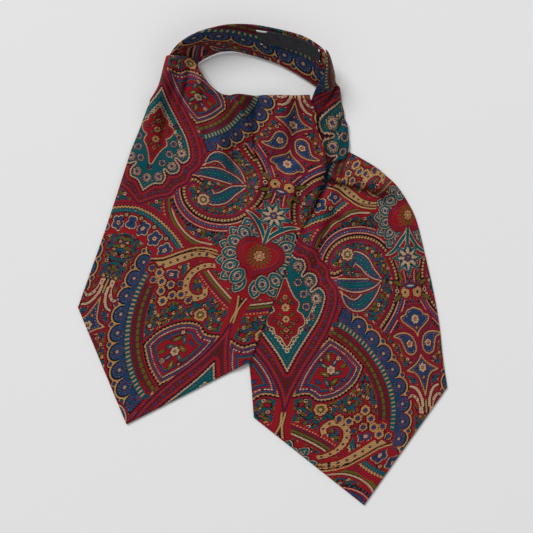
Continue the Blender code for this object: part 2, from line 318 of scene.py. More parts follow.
def cartouche(screens, u, v):
    """Leaf-shaped field in the fan with a zigzag border, a line of beads and a plant in its middle."""
    up = v - KNOT
    along, _, depth = by_curve(u, up, CARTOUCHE)
    print_nest(screens, depth, (-1.8, "red"), (-0.5, "navy"))
    print_ink(screens, depth - 0.7 - 0.6 * wave(along, 3.2), "tan")
    print_nest(screens, depth, (2.2, "navy"), (2.6, "blue"), (4.0, "navy"), (4.3, "purple"))
    print_ink(screens, bead(along, depth, 2.1, 3.3, 0.5), "teal")
    print_ink(screens, bead(along, depth, 1.9, 5.3, 0.75), "cream")
    print_nest(
        screens, depth, (6.4, "red"), (7.4, "navy"), (7.8, "blue"), (9.4, "olive"), (10.2, "navy"),
        (10.6, "red"))
    for centre_u, centre_v, turn, length, width, ink in CARTOUCHE_LEAVES:
        leaf = petal(u, up, centre_u, centre_v, turn, length, width)
        print_nest(screens, leaf, (-0.5, "navy"), (0.0, ink), (1.1, "tan"))
    flowers = ((34.5, 35.5, 4.0), (41.5, 45.0, 2.6), (27.0, 44.0, 2.2), (34.5, 20.0, 2.4))
    print_flowers(
        screens, u, up, flowers, 6, 0.25, ((-0.4, "navy"), (0.1, "cream")), ((1.8, "brown"), (1.0, "cream")))


LEAF_STEM = (  # across, beyond the knot
    (0.6, 15.0), (1.2, 0.0), (1.0, -12.0), (6.5, -28.0), (18.0, -40.0), (34.0, -46.0), (50.0, -44.5),
    (63.0, -36.5), (75.0, -28.0), (87.0, -24.0),
)
LEAF_CURL = (
    (20.0, -38.0), (34.0, -39.0), (45.0, -33.0), (50.0, -22.0), (47.0, -12.0), (38.0, -8.5), (31.0, -13.0),
    (32.5, -19.0),
)
LEAF_LOBES = (  # across, beyond the knot, radius
    (42.0, -5.5, 4.6), (50.0, -8.0, 5.0), (57.0, -5.5, 4.8), (63.0, 1.0, 5.2), (68.0, -6.5, 4.8),
    (62.0, -13.5, 4.6), (71.0, -14.0, 5.0), (78.5, -13.5, 4.4), (76.0, -20.5, 5.0), (84.0, -22.5, 4.4),
    (54.5, -16.5, 4.0),
)


def leaf_scroll(screens, u, v):
    """Tan leaf that springs from the knot, curls over and ends in lobes with blue eyes."""
    up = v - KNOT
    along, aside, _ = by_curve(u, up, LEAF_STEM)
    print_ink(screens, 7.4 - np.abs(aside + 1.6), "red")
    for start in (0.0, 3.0, 5.8):
        print_strips(screens, aside, (-1.4 - start, 1.2 - start, "navy"), (-1.0 - start, 0.8 - start, "tan"))
    print_ink(screens, bead(along, aside, 1.9, -3.0, 0.42), "brown")
    swell = 0.9 + 2.6 * np.clip((along - 75.0) / 30.0, 0.0, 1.0)
    print_nest(screens, swell - np.abs(aside), (-0.5, "navy"), (0.0, "tan"))
    curl_along, curl_aside, _ = by_curve(u, up, LEAF_CURL)
    curl = 1.3 + 1.7 * np.sin(np.clip(curl_along / 90.0, 0.0, 1.0) * np.pi) - np.abs(curl_aside)
    scales = np.full(len(u), -99.0)
    for lobe_u, lobe_v, radius in LEAF_LOBES:
        scales = np.maximum(scales, rosette(u, up, lobe_u, lobe_v, radius - 0.3, 6, 0.16))
    print_nest(screens, np.maximum(curl, scales), (-1.8, "red"), (-0.6, "navy"), (0.0, "tan"))
    print_flowers(
        screens, u, up, LEAF_LOBES, 6, 0.16, ((0.6, "brown"), (1.1, "tan")), ((2.5, "navy"), (2.0, "blue")))
    eyes = bead(along, aside, 6.4, 0.0, 1.3) - 3.0 * (along < 81.0)
    print_nest(screens, eyes, (0.0, "navy"), (0.35, "blue"))
    print_nest(screens, bead(curl_along, curl_aside, 6.0, 0.0, 1.1), (0.0, "navy"), (0.35, "blue"))
    print_nest(
        screens, bead(curl_along + 3.0, np.abs(curl_aside), 3.0, 2.1, 0.5) + np.minimum(curl, 0.0),
        (0.0, "brown"))
    flower = rosette(u, up, 27.0, 3.0, 6.0, 8, 0.2)
    print_nest(
        screens, flower, (-1.2, "red"), (-0.3, "navy"), (0.2, "tan"), (2.4, "navy"), (2.8, "olive"),
        (4.2, "cream"))
    for turn in (-0.9, 0.9):
        leaf = petal(u, up, 27.0 + 9.5 * np.sin(turn), 3.0 - 9.5 * np.cos(turn), -turn, 8.0, 3.2)
        print_nest(screens, leaf, (-0.6, "navy"), (0.0, "teal"))


OGEE = ((0.0, 45.0), (12.0, 40.0), (30.0, 30.0), (42.5, 20.0), (45.5, 12.0), (41.0, 3.0))
OGEE_WING = ((41.0, 3.0), (57.0, 3.5), (72.0, -3.0), (84.0, -14.0), (89.5, -26.0), (90.0, -40.0))


def ogee_line(screens, u, v):
    """Cream and olive line that frames the heart flower, with a cusp at each side."""
    for points in (OGEE, OGEE_WING):
        along, aside, _ = by_curve(u, v, points)
        print_strips(
            screens, aside, (-3.0, 9.6, "red"), (-1.5, 4.2, "navy"), (-1.0, 0.8, "cream"),
            (1.4, 3.6, "olive"), (5.0, 6.0, "purple"))
        print_ink(screens, bead(along, aside, 2.6, 7.4, 0.8), "tan")


HEART = (
    (0.0, 18.0), (4.0, 13.5), (12.0, 8.5), (17.6, 1.0), (17.8, -7.0), (12.0, -12.5), (5.0, -13.2),
    (0.0, -12.2),
)
HEART_PETALS = (  # degrees from the foot, distance out, length, width: the back ring, then the front one
    (36.0, 28.0, 17.0, 11.0), (62.0, 28.0, 16.0, 10.0), (88.0, 28.0, 16.0, 10.0), (114.0, 28.5, 16.0, 10.0),
    (140.0, 29.0, 16.0, 10.0), (166.0, 28.5, 16.0, 10.0), (23.0, 23.5, 17.0, 11.5), (49.0, 24.0, 15.5, 11.0),
    (75.0, 24.0, 15.0, 11.0), (101.0, 24.5, 15.0, 11.0), (127.0, 25.0, 15.0, 11.0), (153.0, 24.5, 15.0, 11.5),
)


def heart_flower(screens, u, v):
    """Red heart with a sunburst, ringed by teal petals with blue eyes."""
    print_ink(screens, rosette(u, v, 0.0, 1.0, 37.0, 12, 0.1), "red")
    for degrees, out, length, width in HEART_PETALS:
        turn = np.pi - np.radians(degrees)
        centre_u, centre_v = out * np.sin(turn), out * np.cos(turn)
        shape = petal(u, v, centre_u, centre_v, turn, length, width)
        print_nest(
            screens, shape, (-1.2, "navy"), (-0.7, "cream"), (0.1, "teal"), (2.2, "cream"), (2.8, "teal"))
        print_dots(screens, u, v, ((centre_u, centre_v, 2.2),), (-0.4, "cream"), (0.4, "navy"), (0.8, "blue"))
        tip = 0.7 - np.hypot(u - 1.18 * centre_u, v - 1.18 * centre_v)
        print_ink(screens, tip, "cream")
    along, _, depth = by_curve(u, v, HEART)
    print_nest(
        screens, depth, (-2.4, "navy"), (-1.8, "red"), (-0.6, "brown"), (0.0, "red"), (1.2, "purple"),
        (1.9, "red"))
    print_ink(screens, bead(along, depth, 2.0, 3.2, 0.45), "olive")
    out, turn = np.hypot(u, v + 0.5), np.arctan2(u, v + 0.5)
    spoke = np.abs((turn * 18.0 / (2.0 * np.pi)) % 1.0 - 0.5) * 2.0 * np.pi / 18.0 * out
    print_ink(screens, np.minimum(np.minimum(0.6 - spoke, out - 5.6), 10.4 - out), "olive")
    print_nest(
        screens, rosette(u, v, 0.0, -0.5, 5.8, 8, 0.35), (0.0, "navy"), (0.5, "tan"), (2.6, "navy"),
        (3.2, "cream"))


STAR_LEAF = ((0.5, -13.0), (3.0, -20.0), (9.0, -28.0), (16.0, -33.5), (24.0, -36.5))


def star_flower(screens, u, v):
    """Teal star on its stem, with a lacy middle, two thin leaves and the pair of round flowers beyond it."""
    off_u, off_v = u, v + 39.5
    turn = np.arctan2(off_u, off_v)
    point = (1.0 - np.abs(np.sin(4.0 * turn))) ** 0.9
    star = 9.0 + 8.0 * point - np.hypot(off_u, off_v)
    along, aside, _ = by_curve(u, v, STAR_LEAF)
    blade = 1.9 * np.sin(np.clip(along / 34.0, 0.0, 1.0) * np.pi) ** 0.5 - np.abs(aside)
    print_nest(
        screens, np.maximum(star, blade), (-2.4, "red"), (-1.2, "navy"), (-0.7, "cream"), (0.3, "teal"))
    stem = 1.3 - np.abs(u) - 9.0 * ((v < -28.0) | (v > -12.0))
    print_nest(screens, stem, (-0.8, "cream"), (0.0, "teal"))
    print_nest(screens, star - 3.6 - 0.6 * np.cos(16.0 * turn), (0.0, "cream"), (0.7, "teal"), (2.4, "cream"))
    eyes = (turn / (np.pi / 4.0)) % 1.0 - 0.5
    print_ink(screens, 0.8 - np.hypot(eyes * np.pi / 4.0 * 6.0, np.hypot(off_u, off_v) - 6.4), "navy")
    middle = rosette(off_u, off_v, 0.0, 0.0, 3.8, 6, 0.3)
    print_nest(screens, middle, (0.0, "navy"), (0.5, "blue"), (2.0, "tan"), (2.9, "navy"))
    bud = rosette(u, v, 6.0, -69.0, 5.0, 6, 0.1)
    print_nest(
        screens, bud, (-1.4, "red"), (-0.3, "navy"), (0.2, "tan"), (1.5, "brown"), (1.9, "tan"),
        (3.6, "navy"))
    collar = petal(u, v, 0.0, -63.5, np.pi / 2, 13.0, 5.0)
    print_nest(screens, collar, (-0.8, "red"), (-0.2, "navy"), (0.3, "blue"), (1.6, "cream"))
    leaves = ((13.0, -61.0, 1.1), (14.5, -73.5, 2.2), (9.0, -55.5, 0.6))
    print_leaves(screens, u, v, leaves, 10.0, 3.4, (-0.6, "navy"), (0.0, "olive"))
    print_dots(
        screens, u, v, ((14.5, -67.5, 2.2), (20.5, -60.0, 1.7)), (-0.4, "navy"), (0.0, "cream"),
        (1.2, "navy"))


SPADE = (
    (0.0, -106.0), (2.2, -101.5), (7.5, -97.5), (13.4, -93.0), (14.2, -89.0), (9.5, -87.4), (7.0, -84.0),
    (0.0, -81.5),
)
COMMA = (
    (3.2, -111.5), (3.6, -117.0), (8.0, -120.5), (13.5, -118.5), (16.0, -112.5), (18.5, -107.5),
    (24.5, -104.8), (19.0, -102.6), (12.0, -102.4), (6.0, -105.4), (3.2, -111.5),
)
LANTERN = (
    (0.0, -120.5), (2.6, -125.0), (7.5, -129.0), (14.4, -132.8), (15.0, -133.6), (8.6, -135.6), (5.0, -139.5),
    (2.6, -146.0), (0.0, -155.0),
)


BLUE_FLOWERS = (  # lobes, then across, along and radius of each flower that has so many
    (7, (0.0, -91.5, 4.2)),
    (5, (9.4, -111.5, 3.4)),
    (6, (0.0, -131.5, 4.0)),
    (5, (0.0, -98.5, 1.8), (0.0, -139.5, 1.6)),
)


def blue_palmettes(screens, u, v):
    """Blue spade, pair of commas and pointed lantern, outlined in tan, one above another on the column."""
    for points in (SPADE, COMMA, LANTERN):
        along, _, depth = by_curve(u, v, points)
        print_nest(
            screens, depth, (-3.4, "red"), (-2.6, "purple"), (-1.9, "red"), (-1.1, "navy"), (-0.6, "tan"),
            (0.8, "navy"), (1.2, "blue"), (2.9, "navy"), (3.3, "blue"))
        print_ink(screens, bead(along, depth, 2.3, 2.1, 0.45), "cream")
    for lobes, *flowers in BLUE_FLOWERS:
        print_flowers(
            screens, u, v, flowers, lobes, 0.3, ((-0.4, "navy"), (0.0, "cream")),
            ((2.0, "brown"), (1.2, "tan")))


STEM_CURLS = (
    ((1.6, -181.0), (4.6, -170.0), (6.0, -161.0), (12.0, -154.0), (17.0, -156.5)),
    ((3.0, -164.0), (4.0, -156.0), (8.5, -148.5), (14.5, -146.0)),
)


def stem_curls(screens, u, v):
    """Tan stem with pink curls at its foot."""
    for points, width in zip(STEM_CURLS, (2.4, 1.5)):
        along, aside, _ = by_curve(u, v, points)
        curl = width * np.clip(1.25 - along / 42.0, 0.3, 1.0) - np.abs(aside)
        print_nest(screens, curl, (-1.6, "red"), (-0.6, "navy"), (0.0, "cream"))
        print_ink(screens, bead(along, aside, 4.0, 0.0, 0.8) - 9.0 * (width < 2.0), "blue")
    print_nest(screens, 0.9 - u - 9.0 * ((v > -150.0) | (v < -186.0)), (-0.7, "navy"), (0.0, "tan"))


PALMETTE = (
    (0.0, 93.0), (7.0, 107.0), (17.0, 122.0), (27.0, 136.0), (33.0, 149.0), (34.0, 157.0), (29.0, 162.5),
    (22.5, 159.5), (22.5, 161.0), (27.5, 166.0), (26.5, 172.5), (20.0, 175.5), (14.5, 172.5), (14.8, 174.5),
    (17.5, 180.0), (15.0, 186.5), (8.0, 188.5), (0.0, 197.0),
)
PALMETTE_BAND = (
    (0.0, 62.0), (4.0, 78.0), (13.0, 97.0), (25.0, 114.0), (36.0, 131.0), (43.5, 147.0), (44.5, 160.0),
    (38.5, 169.5), (37.0, 178.5), (29.0, 186.0), (25.5, 194.0), (14.5, 199.5), (0.0, 209.0),
)
INNER_PALMETTE = (
    (0.0, 116.0), (3.4, 122.5), (7.4, 125.0), (8.6, 130.0), (13.4, 133.0), (12.2, 139.0), (7.6, 143.0),
    (9.4, 149.0), (6.4, 153.0), (3.0, 160.0), (0.0, 169.0),
)
PALMETTE_FLOWERS = (  # across, along, radius
    (26.0, 153.0, 5.0), (20.0, 167.5, 4.6), (10.5, 180.5, 4.4), (17.0, 146.5, 3.6), (15.0, 157.0, 3.6),
    (0.0, 184.0, 4.4), (21.0, 138.5, 3.0), (10.5, 167.0, 3.6), (16.5, 129.0, 2.4), (0.0, 174.5, 2.6),
)


def teal_palmette(screens, u, v):
    """Large teal palmette with scalloped shoulders and lacy flowers, in a dark band strewn with blue dots."""
    along, _, depth = by_curve(u, v, PALMETTE_BAND)
    print_nest(
        screens, depth, (-2.4, "red"), (-1.4, "navy"), (-0.9, "purple"), (0.0, "red"), (2.2, "purple"),
        (2.7, "brown"))
    print_ink(screens, bead(along, depth, 2.2, 1.1, 0.45), "olive")
    dots = bead(along, depth, 8.4, 5.0, 1.6) - 9.0 * (v < 100.0)
    print_nest(screens, dots, (-0.5, "red"), (0.0, "navy"), (0.4, "blue"))
    print_ink(screens, bead(along + 4.2, depth, 8.4, 5.0, 0.6) - 9.0 * (v < 100.0), "olive")
    along, _, depth = by_curve(u, v, PALMETTE)
    print_nest(
        screens, depth, (-4.6, "purple"), (-4.0, "red"), (-1.6, "navy"), (-1.1, "purple"), (-0.5, "navy"))
    print_ink(screens, bead(along, depth, 2.4, -2.8, 0.42), "olive")
    print_ink(screens, depth + 0.1 - 0.35 * wave(along, 2.8), "cream")
    print_nest(screens, depth, (1.3, "navy"), (1.6, "teal"))
    print_ink(screens, bead(along, depth, 2.2, 3.6, 0.42), "cream")
    lace = 6.4 + 0.7 * wave(along, 3.4)
    print_nest(screens, np.minimum(depth - lace, 9.0 - depth) - 5.0 * (v > 150.0), (0.0, "cream"))
    print_ink(screens, bead(along, depth, 3.4, 7.8, 0.6) - 5.0 * (v > 150.0), "navy")
    print_flowers(
        screens, u, v, PALMETTE_FLOWERS, 9, 0.24,
        ((-0.5, "navy"), (0.0, "cream"), (0.7, "teal"), (1.6, "cream")), ((2.0, "navy"), (1.6, "blue")))
    along, _, inner = by_curve(u, v, INNER_PALMETTE)
    print_nest(
        screens, inner, (-2.7, "navy"), (-2.3, "cream"), (-1.1, "navy"), (-0.6, "red"), (1.2, "brown"),
        (1.9, "red"))
    spots = (
        (0.0, 122.0, 2.0), (0.0, 128.0, 2.6), (5.0, 133.0, 2.2), (0.0, 136.5, 3.4), (9.0, 135.5, 1.8),
        (0.0, 146.0, 3.8), (0.0, 154.5, 2.4), (0.0, 161.0, 1.6), (5.4, 149.5, 1.6))
    print_flowers(
        screens, u, v, spots, 7, 0.3, ((-0.3, "navy"), (0.1, "tan")), ((1.5, "brown"), (0.8, "teal")))
    leaves = ((4.6, 140.0, 0.9), (3.6, 151.5, 0.6), (3.6, 125.5, 0.8), (3.4, 130.5, 1.2))
    print_leaves(screens, u, v, leaves, 5.5, 2.0, (-0.3, "navy"), (0.1, "olive"))


TULIP_LINE = ((0.0, 213.0), (16.0, 216.0), (38.0, 226.0), (56.0, 239.0), (65.0, 252.0), (69.0, 268.0))


def tulip_band(screens, u, v):
    """Teal band with a zigzag edge and a row of blue tulips in pink brackets."""
    along, aside, _ = by_curve(u, v, TULIP_LINE)
    shape = 99.0 - np.abs(aside)
    print_strips(screens, aside, (-6.0, 24.0, "red"), (-1.4, 5.4, "navy"), (1.4, 5.0, "teal"))
    print_ink(screens, 1.0 - np.abs(aside - 0.2 - 0.6 * wave(along, 3.2)), "tan")
    print_ink(screens, bead(along, aside, 2.4, 3.2, 0.5), "cream")
    print_strips(screens, aside, (-4.2, -3.4, "purple"))
    step = ((along / 17.0 + 0.5) % 1.0 - 0.5) * 17.0
    stem = np.minimum(petal(np.abs(step), aside, 5.6, 9.5, -0.5, 10.0, 3.6), shape)
    print_nest(screens, stem, (-0.5, "navy"), (0.0, "olive"))
    bracket = rosette(step, aside, 0.0, 14.5, 8.0, 5, 0.26)
    print_nest(
        screens, np.minimum(bracket, shape), (-1.4, "red"), (-0.6, "navy"), (-0.1, "cream"), (1.1, "navy"),
        (1.5, "blue"), (3.2, "navy"), (3.6, "blue"))
    print_nest(
        screens, rosette(step, aside, 0.0, 14.5, 2.6, 5, 0.35), (-0.3, "navy"), (0.1, "cream"),
        (1.4, "brown"))
    print_nest(
        screens, 1.9 - np.hypot(np.abs(step) - 8.5, aside - 7.4), (-0.4, "navy"), (0.0, "tan"),
        (1.1, "blue"))


SPIRAL = (
    (36.0, -97.0), (21.0, -80.0), (13.5, -62.0), (17.5, -42.0), (29.0, -26.0), (46.0, -19.0), (63.0, -20.0),
    (76.0, -28.0), (82.0, -40.0), (76.0, -50.0), (68.0, -48.0),
)
SPIRAL_LEAVES = (  # the middle line of each leaf
    ((30.0, -57.0), (41.0, -68.0), (53.0, -77.0), (63.0, -75.0), (71.0, -63.0)),
    ((30.0, -57.0), (41.0, -60.0), (57.0, -61.0), (72.0, -58.0)),
    ((30.0, -57.0), (39.0, -50.0), (46.0, -41.0), (55.0, -37.0), (60.0, -43.0)),
)


def spiral_boteh(screens, u, v):
    """Curled boteh with a zigzag border, cream and purple lines, and three teal leaves inside it."""
    along, aside, _ = by_curve(u, v, SPIRAL)
    print_strips(screens, aside, (-5.0, 14.6, "red"), (-3.6, -2.8, "purple"), (-2.0, 2.6, "navy"))
    print_ink(screens, np.minimum(aside + 1.3 + 0.5 * wave(along, 3.0), 1.2 - aside), "tan")
    print_ink(screens, bead(along, aside, 3.0, 0.2, 0.6), "navy")
    print_strips(
        screens, aside, (3.2, 4.2, "cream"), (4.7, 7.3, "navy"), (5.0, 7.0, "blue"), (7.7, 8.3, "purple"),
        (8.9, 9.9, "cream"), (10.4, 13.0, "navy"))
    print_ink(screens, bead(along, aside, 2.4, 6.0, 0.5), "cream")
    print_ink(screens, bead(along, aside, 2.9, 11.7, 0.95), "teal")
    for points in SPIRAL_LEAVES:
        leaf_along, leaf_aside, _ = by_curve(u, v, points)
        leaf = 5.2 * np.sin(np.clip(leaf_along / 50.0, 0.02, 1.0) * np.pi) ** 0.7 - np.abs(leaf_aside)
        print_nest(
            screens, leaf, (-2.6, "red"), (-1.6, "navy"), (-1.1, "cream"), (0.2, "navy"), (0.6, "blue"),
            (1.9, "navy"), (2.2, "teal"))
        print_ink(
            screens, bead(leaf_along, np.abs(leaf_aside), 2.6, 2.9, 0.45) + np.minimum(leaf - 1.0, 0.0),
            "cream")
        print_ink(screens, bead(leaf_along, leaf_aside, 3.0, 0.0, 0.5) + np.minimum(leaf - 2.4, 0.0), "tan")
    whorl = rosette(u, v, 62.0, -34.0, 6.0, 8, 0.2)
    print_nest(
        screens, whorl, (-1.0, "red"), (-0.3, "navy"), (0.2, "cream"), (2.2, "navy"), (2.6, "olive"),
        (3.9, "cream"))


# Where each motif reaches: across from the column, and from one place to another along it. Later motifs are
# printed over earlier ones
DESIGN = (
    (filler, 59.0, -300.0, 300.0),
    (ogee_line, 96.0, -46.0, 52.0),
    (fan, 110.0, -5.0, 164.0),
    (tulip_band, 80.0, 200.0, 277.0),
    (leaf_scroll, 94.0, 4.0, 76.0),
    (cartouche, 68.0, 64.0, 126.0),
    (spiral_boteh, 90.0, -102.0, -8.0),
    (teal_palmette, 50.0, 58.0, 214.0),
    (heart_flower, 41.0, -40.0, 41.0),
    (star_flower, 30.0, -80.0, -11.0),
    (stem_curls, 20.0, -170.0, -140.0),
    (blue_palmettes, 30.0, -160.0, -76.0),
)


def print_screens(u, v):
    """Depth in mm inside each ink at places on the flat cloth, the columns side by side at half drop."""
    screens = np.full((len(INKS), len(u)), -9.0)
    for motif, reach, low, high in DESIGN:
        for column in range(-2, 4):
            across = np.abs(u - COLUMN * column)
            up = (v - HALF_DROP * (column % 2) + 170.0) % (2.0 * HALF_DROP) - 170.0
            near = np.flatnonzero((across < reach) & (up > low) & (up < high))
            if len(near):
                part = screens[:, near]
                motif(part, across[near], up[near])
                screens[:, near] = part
    return screens


# Under blade
# The cravat's left-hand half: a pointed blade of silk twill, cut double, sewn along its edges and turned
# right side out, so that its edge is a soft fold. It lies on the table, and pleats gather it to the neck.
MIDDLE = (0.45, -2.55)      # mm, the cravat's middle in the tables' own frame
HALF_SILK = 0.8             # mm from a blade's middle to its face: a ply of twill and half of the air between
EDGE_ROLL = 1.3             # mm over which the turned edge rounds away
READ_PLACES = 500           # places at which a blade's table is read to measure its length
ALONG_SPACING = 0.8         # share of the spacing across a blade that its sections lie apart


def ease(share):
    """0 below 0, 1 above 1, and a smooth climb between them."""
    share = np.clip(share, 0.0, 1.0)
    return share * share * (3.0 - 2.0 * share)


def ridges(x, y, table):
    """Height of soft ridges: a squared cosine across each, and a squared sine of its length's share along it.

    The share is raised to the power 0.7 first, so a ridge is highest a little over a third of the way from
    its start, by the neck, and dies out slowly to its end.
    """
    height = np.zeros_like(x)
    for start_x, start_y, end_x, end_y, half_width, top in table:
        run_x, run_y = end_x - start_x, end_y - start_y
        length = np.hypot(run_x, run_y)
        along = ((x - start_x) * run_x + (y - start_y) * run_y) / length**2
        aside = ((x - start_x) * run_y - (y - start_y) * run_x) / length
        across = np.cos(np.clip(aside / half_width, -1.0, 1.0) * np.pi / 2.0) ** 2
        fade = np.sin(np.clip(along, 0.0, 1.0) ** 0.7 * np.pi) ** 2
        height += top * across * fade
    return height


def above_table(height):
    """A height kept above the table: it leaves the table softly, and stays on it where it would go below."""
    height = np.maximum(height, 0.0)
    return height**2 / (height + 0.3)


def pleat_step(x, y, line, height, reach=9.0):
    """A pleat from above: its height, and 1 on its upper layer, 0 on its lower one, dying out at its ends.

    Its folded edge stands up on the left of the line, drawn as a smooth curve, and slopes away over the
    reach. On the right the layer below dips under the fold.
    """
    along, aside, _ = by_curve(x.ravel(), y.ravel(), line)
    share = np.clip(along / along.max(), 0.0, 1.0)
    fade = ease(share * 5.0) * ease((1.0 - share) * 5.0) * (np.abs(aside) < 90.0)
    lip = ease(aside / 0.9) * (1.0 - ease((aside - 0.9) / reach)) * (aside > 0.0)
    dip = -0.8 * (1.0 - ease(-aside / 5.0)) * (aside <= 0.0)
    over = fade * ease(aside / 0.5) * (1.0 - ease((aside - 2.0) / (4.0 * reach)))
    return (height * fade * (lip + dip)).reshape(x.shape), over.reshape(x.shape)


def evenly(length, spacing):
    """Shares of a length at this spacing, with a few closer together at each end, where the edge rounds."""
    lip = np.array([0.0, 0.15, 0.35, 0.65, 1.0]) * EDGE_ROLL / length
    body = np.linspace(lip[-1], 1.0 - lip[-1], 2 * int(0.5 * length / spacing) + 1)
    return np.concatenate([lip[:-1], body, 1.0 - lip[-2::-1]])


def sections(table, spacing, tilt):
    """Places on the sections between a blade's edges, at a spacing in mm, and the table's rows read there.

    A section is straight from its left end to its right end, and dips in the middle, against the tilt, by the
    depth of the blade's point. Sections lie evenly apart along the blade's middle.
    """
    dense_places = np.linspace(0.0, 1.0, READ_PLACES)
    dense = between_rows(table, dense_places)
    steps = np.hypot(*np.diff(0.5 * (dense[:, 0:2] + dense[:, 2:4]), axis=0).T)
    walked = np.concatenate([[0.0], np.cumsum(steps)])
    wanted = evenly(walked[-1], ALONG_SPACING * spacing) * walked[-1]
    places = np.interp(wanted, walked, dense_places)
    rows = between_rows(table, places)
    width = np.hypot(*(rows[:, 2:4] - rows[:, 0:2]).T).mean()
    share = evenly(width, spacing)[None, :]
    left_x, left_y, right_x, right_y, depth = (rows[:, k:k + 1] for k in range(5))
    dip = depth * (1.0 - np.abs(2.0 * share - 1.0))
    x = left_x + (right_x - left_x) * share - dip * tilt[0]
    y = left_y + (right_y - left_y) * share - dip * tilt[1]
    return rows, share, x, y


def normals_of(grid):
    """Unit normals of a grid of points, from the directions along its sections and across them."""
    normal = np.cross(np.gradient(grid, axis=1), np.gradient(grid, axis=0))
    return normal / np.maximum(np.linalg.norm(normal, axis=-1, keepdims=True), 1e-9)


def from_edge(grid, start=True, end=True, left=True, right=True):
    """Distance over the cloth to its nearest turned edge, in mm."""
    along = np.linalg.norm(np.diff(grid, axis=0, prepend=grid[:1]), axis=-1).cumsum(axis=0)
    across = np.linalg.norm(np.diff(grid, axis=1, prepend=grid[:, :1]), axis=-1).cumsum(axis=1)
    gaps = ((start, along), (end, along[-1:] - along), (left, across), (right, across[:, -1:] - across))
    return np.minimum.reduce([gap for turned, gap in gaps if turned])


def rounded(edge, half_thickness, roll=EDGE_ROLL):
    """How far a ply stands off its cloth's middle: none at the turned edge, a quarter ellipse, then level."""
    return half_thickness * np.sqrt(1.0 - (1.0 - np.clip(edge / roll, 0.0, 1.0)) ** 2)


def quads_of(numbers):
    """Four-sided faces between neighbours in a grid of vertex numbers."""
    corners = numbers[:-1, :-1], numbers[:-1, 1:], numbers[1:, 1:], numbers[1:, :-1]
    return np.stack(corners, axis=-1).reshape(-1, 4)


def add_mesh(name, points, quads, material, cloth=None):
    """Adds a piece from points in mm and faces. Cloth places, where given, become its UV map and print."""
    mesh = bpy.data.meshes.new(name)
    points = (points - np.array([*MIDDLE, 0.0])) * MILLIMETRE
    mesh.vertices.add(len(points))
    mesh.vertices.foreach_set("co", points.ravel())
    mesh.loops.add(quads.size)
    mesh.loops.foreach_set("vertex_index", quads.ravel())
    mesh.polygons.add(len(quads))
    mesh.polygons.foreach_set("loop_start", np.arange(0, quads.size, 4))
    mesh.update(calc_edges=True)
    mesh.validate()
    mesh.shade_smooth()
    mesh.materials.append(material)
    if cloth is not None:
        mesh.uv_layers.new(name="cloth").data.foreach_set("uv", (cloth[quads.ravel()] * MILLIMETRE).ravel())
        for ink, screen in zip(INKS, print_screens(cloth[:, 0], cloth[:, 1])):
            mesh.attributes.new(ink, "FLOAT", "POINT").data.foreach_set("value", screen.astype(np.float32))
    piece = bpy.data.objects.new(name, mesh)
    bpy.context.scene.collection.objects.link(piece)
    return piece


def finish_piece(piece, slot, *nodes):
    """Every piece rides on the one body and stands for its CAD nodes; the slot is not used."""
    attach(piece, "root")
    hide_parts(*nodes)


def cloth_places(anchors, x, y):
    """Where each place of a blade lies on the flat cloth: a least-squares polynomial through the anchors.

    Its terms are 1, x, y, x squared, x times y, y squared and y cubed, in tenths of a metre.
    """
    def terms(x, y):
        x, y = x / 100.0, y / 100.0
        return np.stack([np.ones_like(x), x, y, x * x, x * y, y * y, y**3], axis=1)

    anchors = np.array(anchors)
    weights = np.linalg.lstsq(terms(anchors[:, 0], anchors[:, 1]), anchors[:, 2:4], rcond=None)[0]
    return terms(x.ravel(), y.ravel()) @ weights


# Silk twill, screen printed and softly finished: matt, with a faint sheen along its diagonal ribs. Each ink
# is laid where its screen is open, and bleeds a little into its neighbours
INK_COLOURS = {
    "red": "961421", "brown": "5a1d1d", "purple": "392144", "olive": "5c571f", "teal": "035159",
    "blue": "1f3e64", "tan": "b58b59", "cream": "bc9c7c", "navy": "0b0d16"}
INK_BLEED = 0.12            # mm on either side of an ink's edge
TWILL_PITCH = 1.7           # mm between ribs; the real 0.5 mm is too fine to show
silk, tree, output = new_material("screen-printed silk twill")
place = add_node(tree, "ShaderNodeUVMap", uv_map="cloth")
ragged = add_node(tree, "ShaderNodeTexNoise", {
    "Vector": place.outputs["UV"], "Scale": 900.0, "Detail": 1.0}, noise_dimensions="2D")
wander = add_node(tree, "ShaderNodeMath", {0: ragged.outputs["Fac"], 1: -0.5}, operation="ADD")
wander = add_node(tree, "ShaderNodeMath", {0: wander.outputs[0], 1: 0.5}, operation="MULTIPLY")
colour = (*linear(INK_COLOURS["red"]), 1.0)
for ink in INKS:
    screen = add_node(tree, "ShaderNodeAttribute", attribute_name=ink)
    moved = add_node(
        tree, "ShaderNodeMath", {0: screen.outputs["Fac"], 1: wander.outputs[0]}, operation="ADD")
    cover = add_node(
        tree, "ShaderNodeMapRange",
        {"Value": moved.outputs[0], "From Min": -2.0 * INK_BLEED, "From Max": INK_BLEED},
        interpolation_type="SMOOTHSTEP")
    mixed = add_node(tree, "ShaderNodeMix", {
        0: cover.outputs[0], 6: colour, 7: (*linear(INK_COLOURS[ink]), 1.0)}, data_type="RGBA")
    colour = mixed.outputs[2]
rib = add_node(tree, "ShaderNodeTexWave", {
    "Vector": place.outputs["UV"], "Scale": 2.0 * np.pi / (10.0 * np.sqrt(2.0) * TWILL_PITCH * MILLIMETRE),
    "Distortion": 1.2, "Detail": 0.0}, bands_direction="DIAGONAL")
weft = add_node(tree, "ShaderNodeTexWave", {
    "Vector": place.outputs["UV"], "Scale": np.pi / (10.0 * TWILL_PITCH * MILLIMETRE),
    "Distortion": 1.2, "Detail": 0.0}, bands_direction="Y")
tooth = add_node(
    tree, "ShaderNodeMix", {0: 0.5, 2: rib.outputs["Fac"], 3: weft.outputs["Fac"]}, data_type="FLOAT")
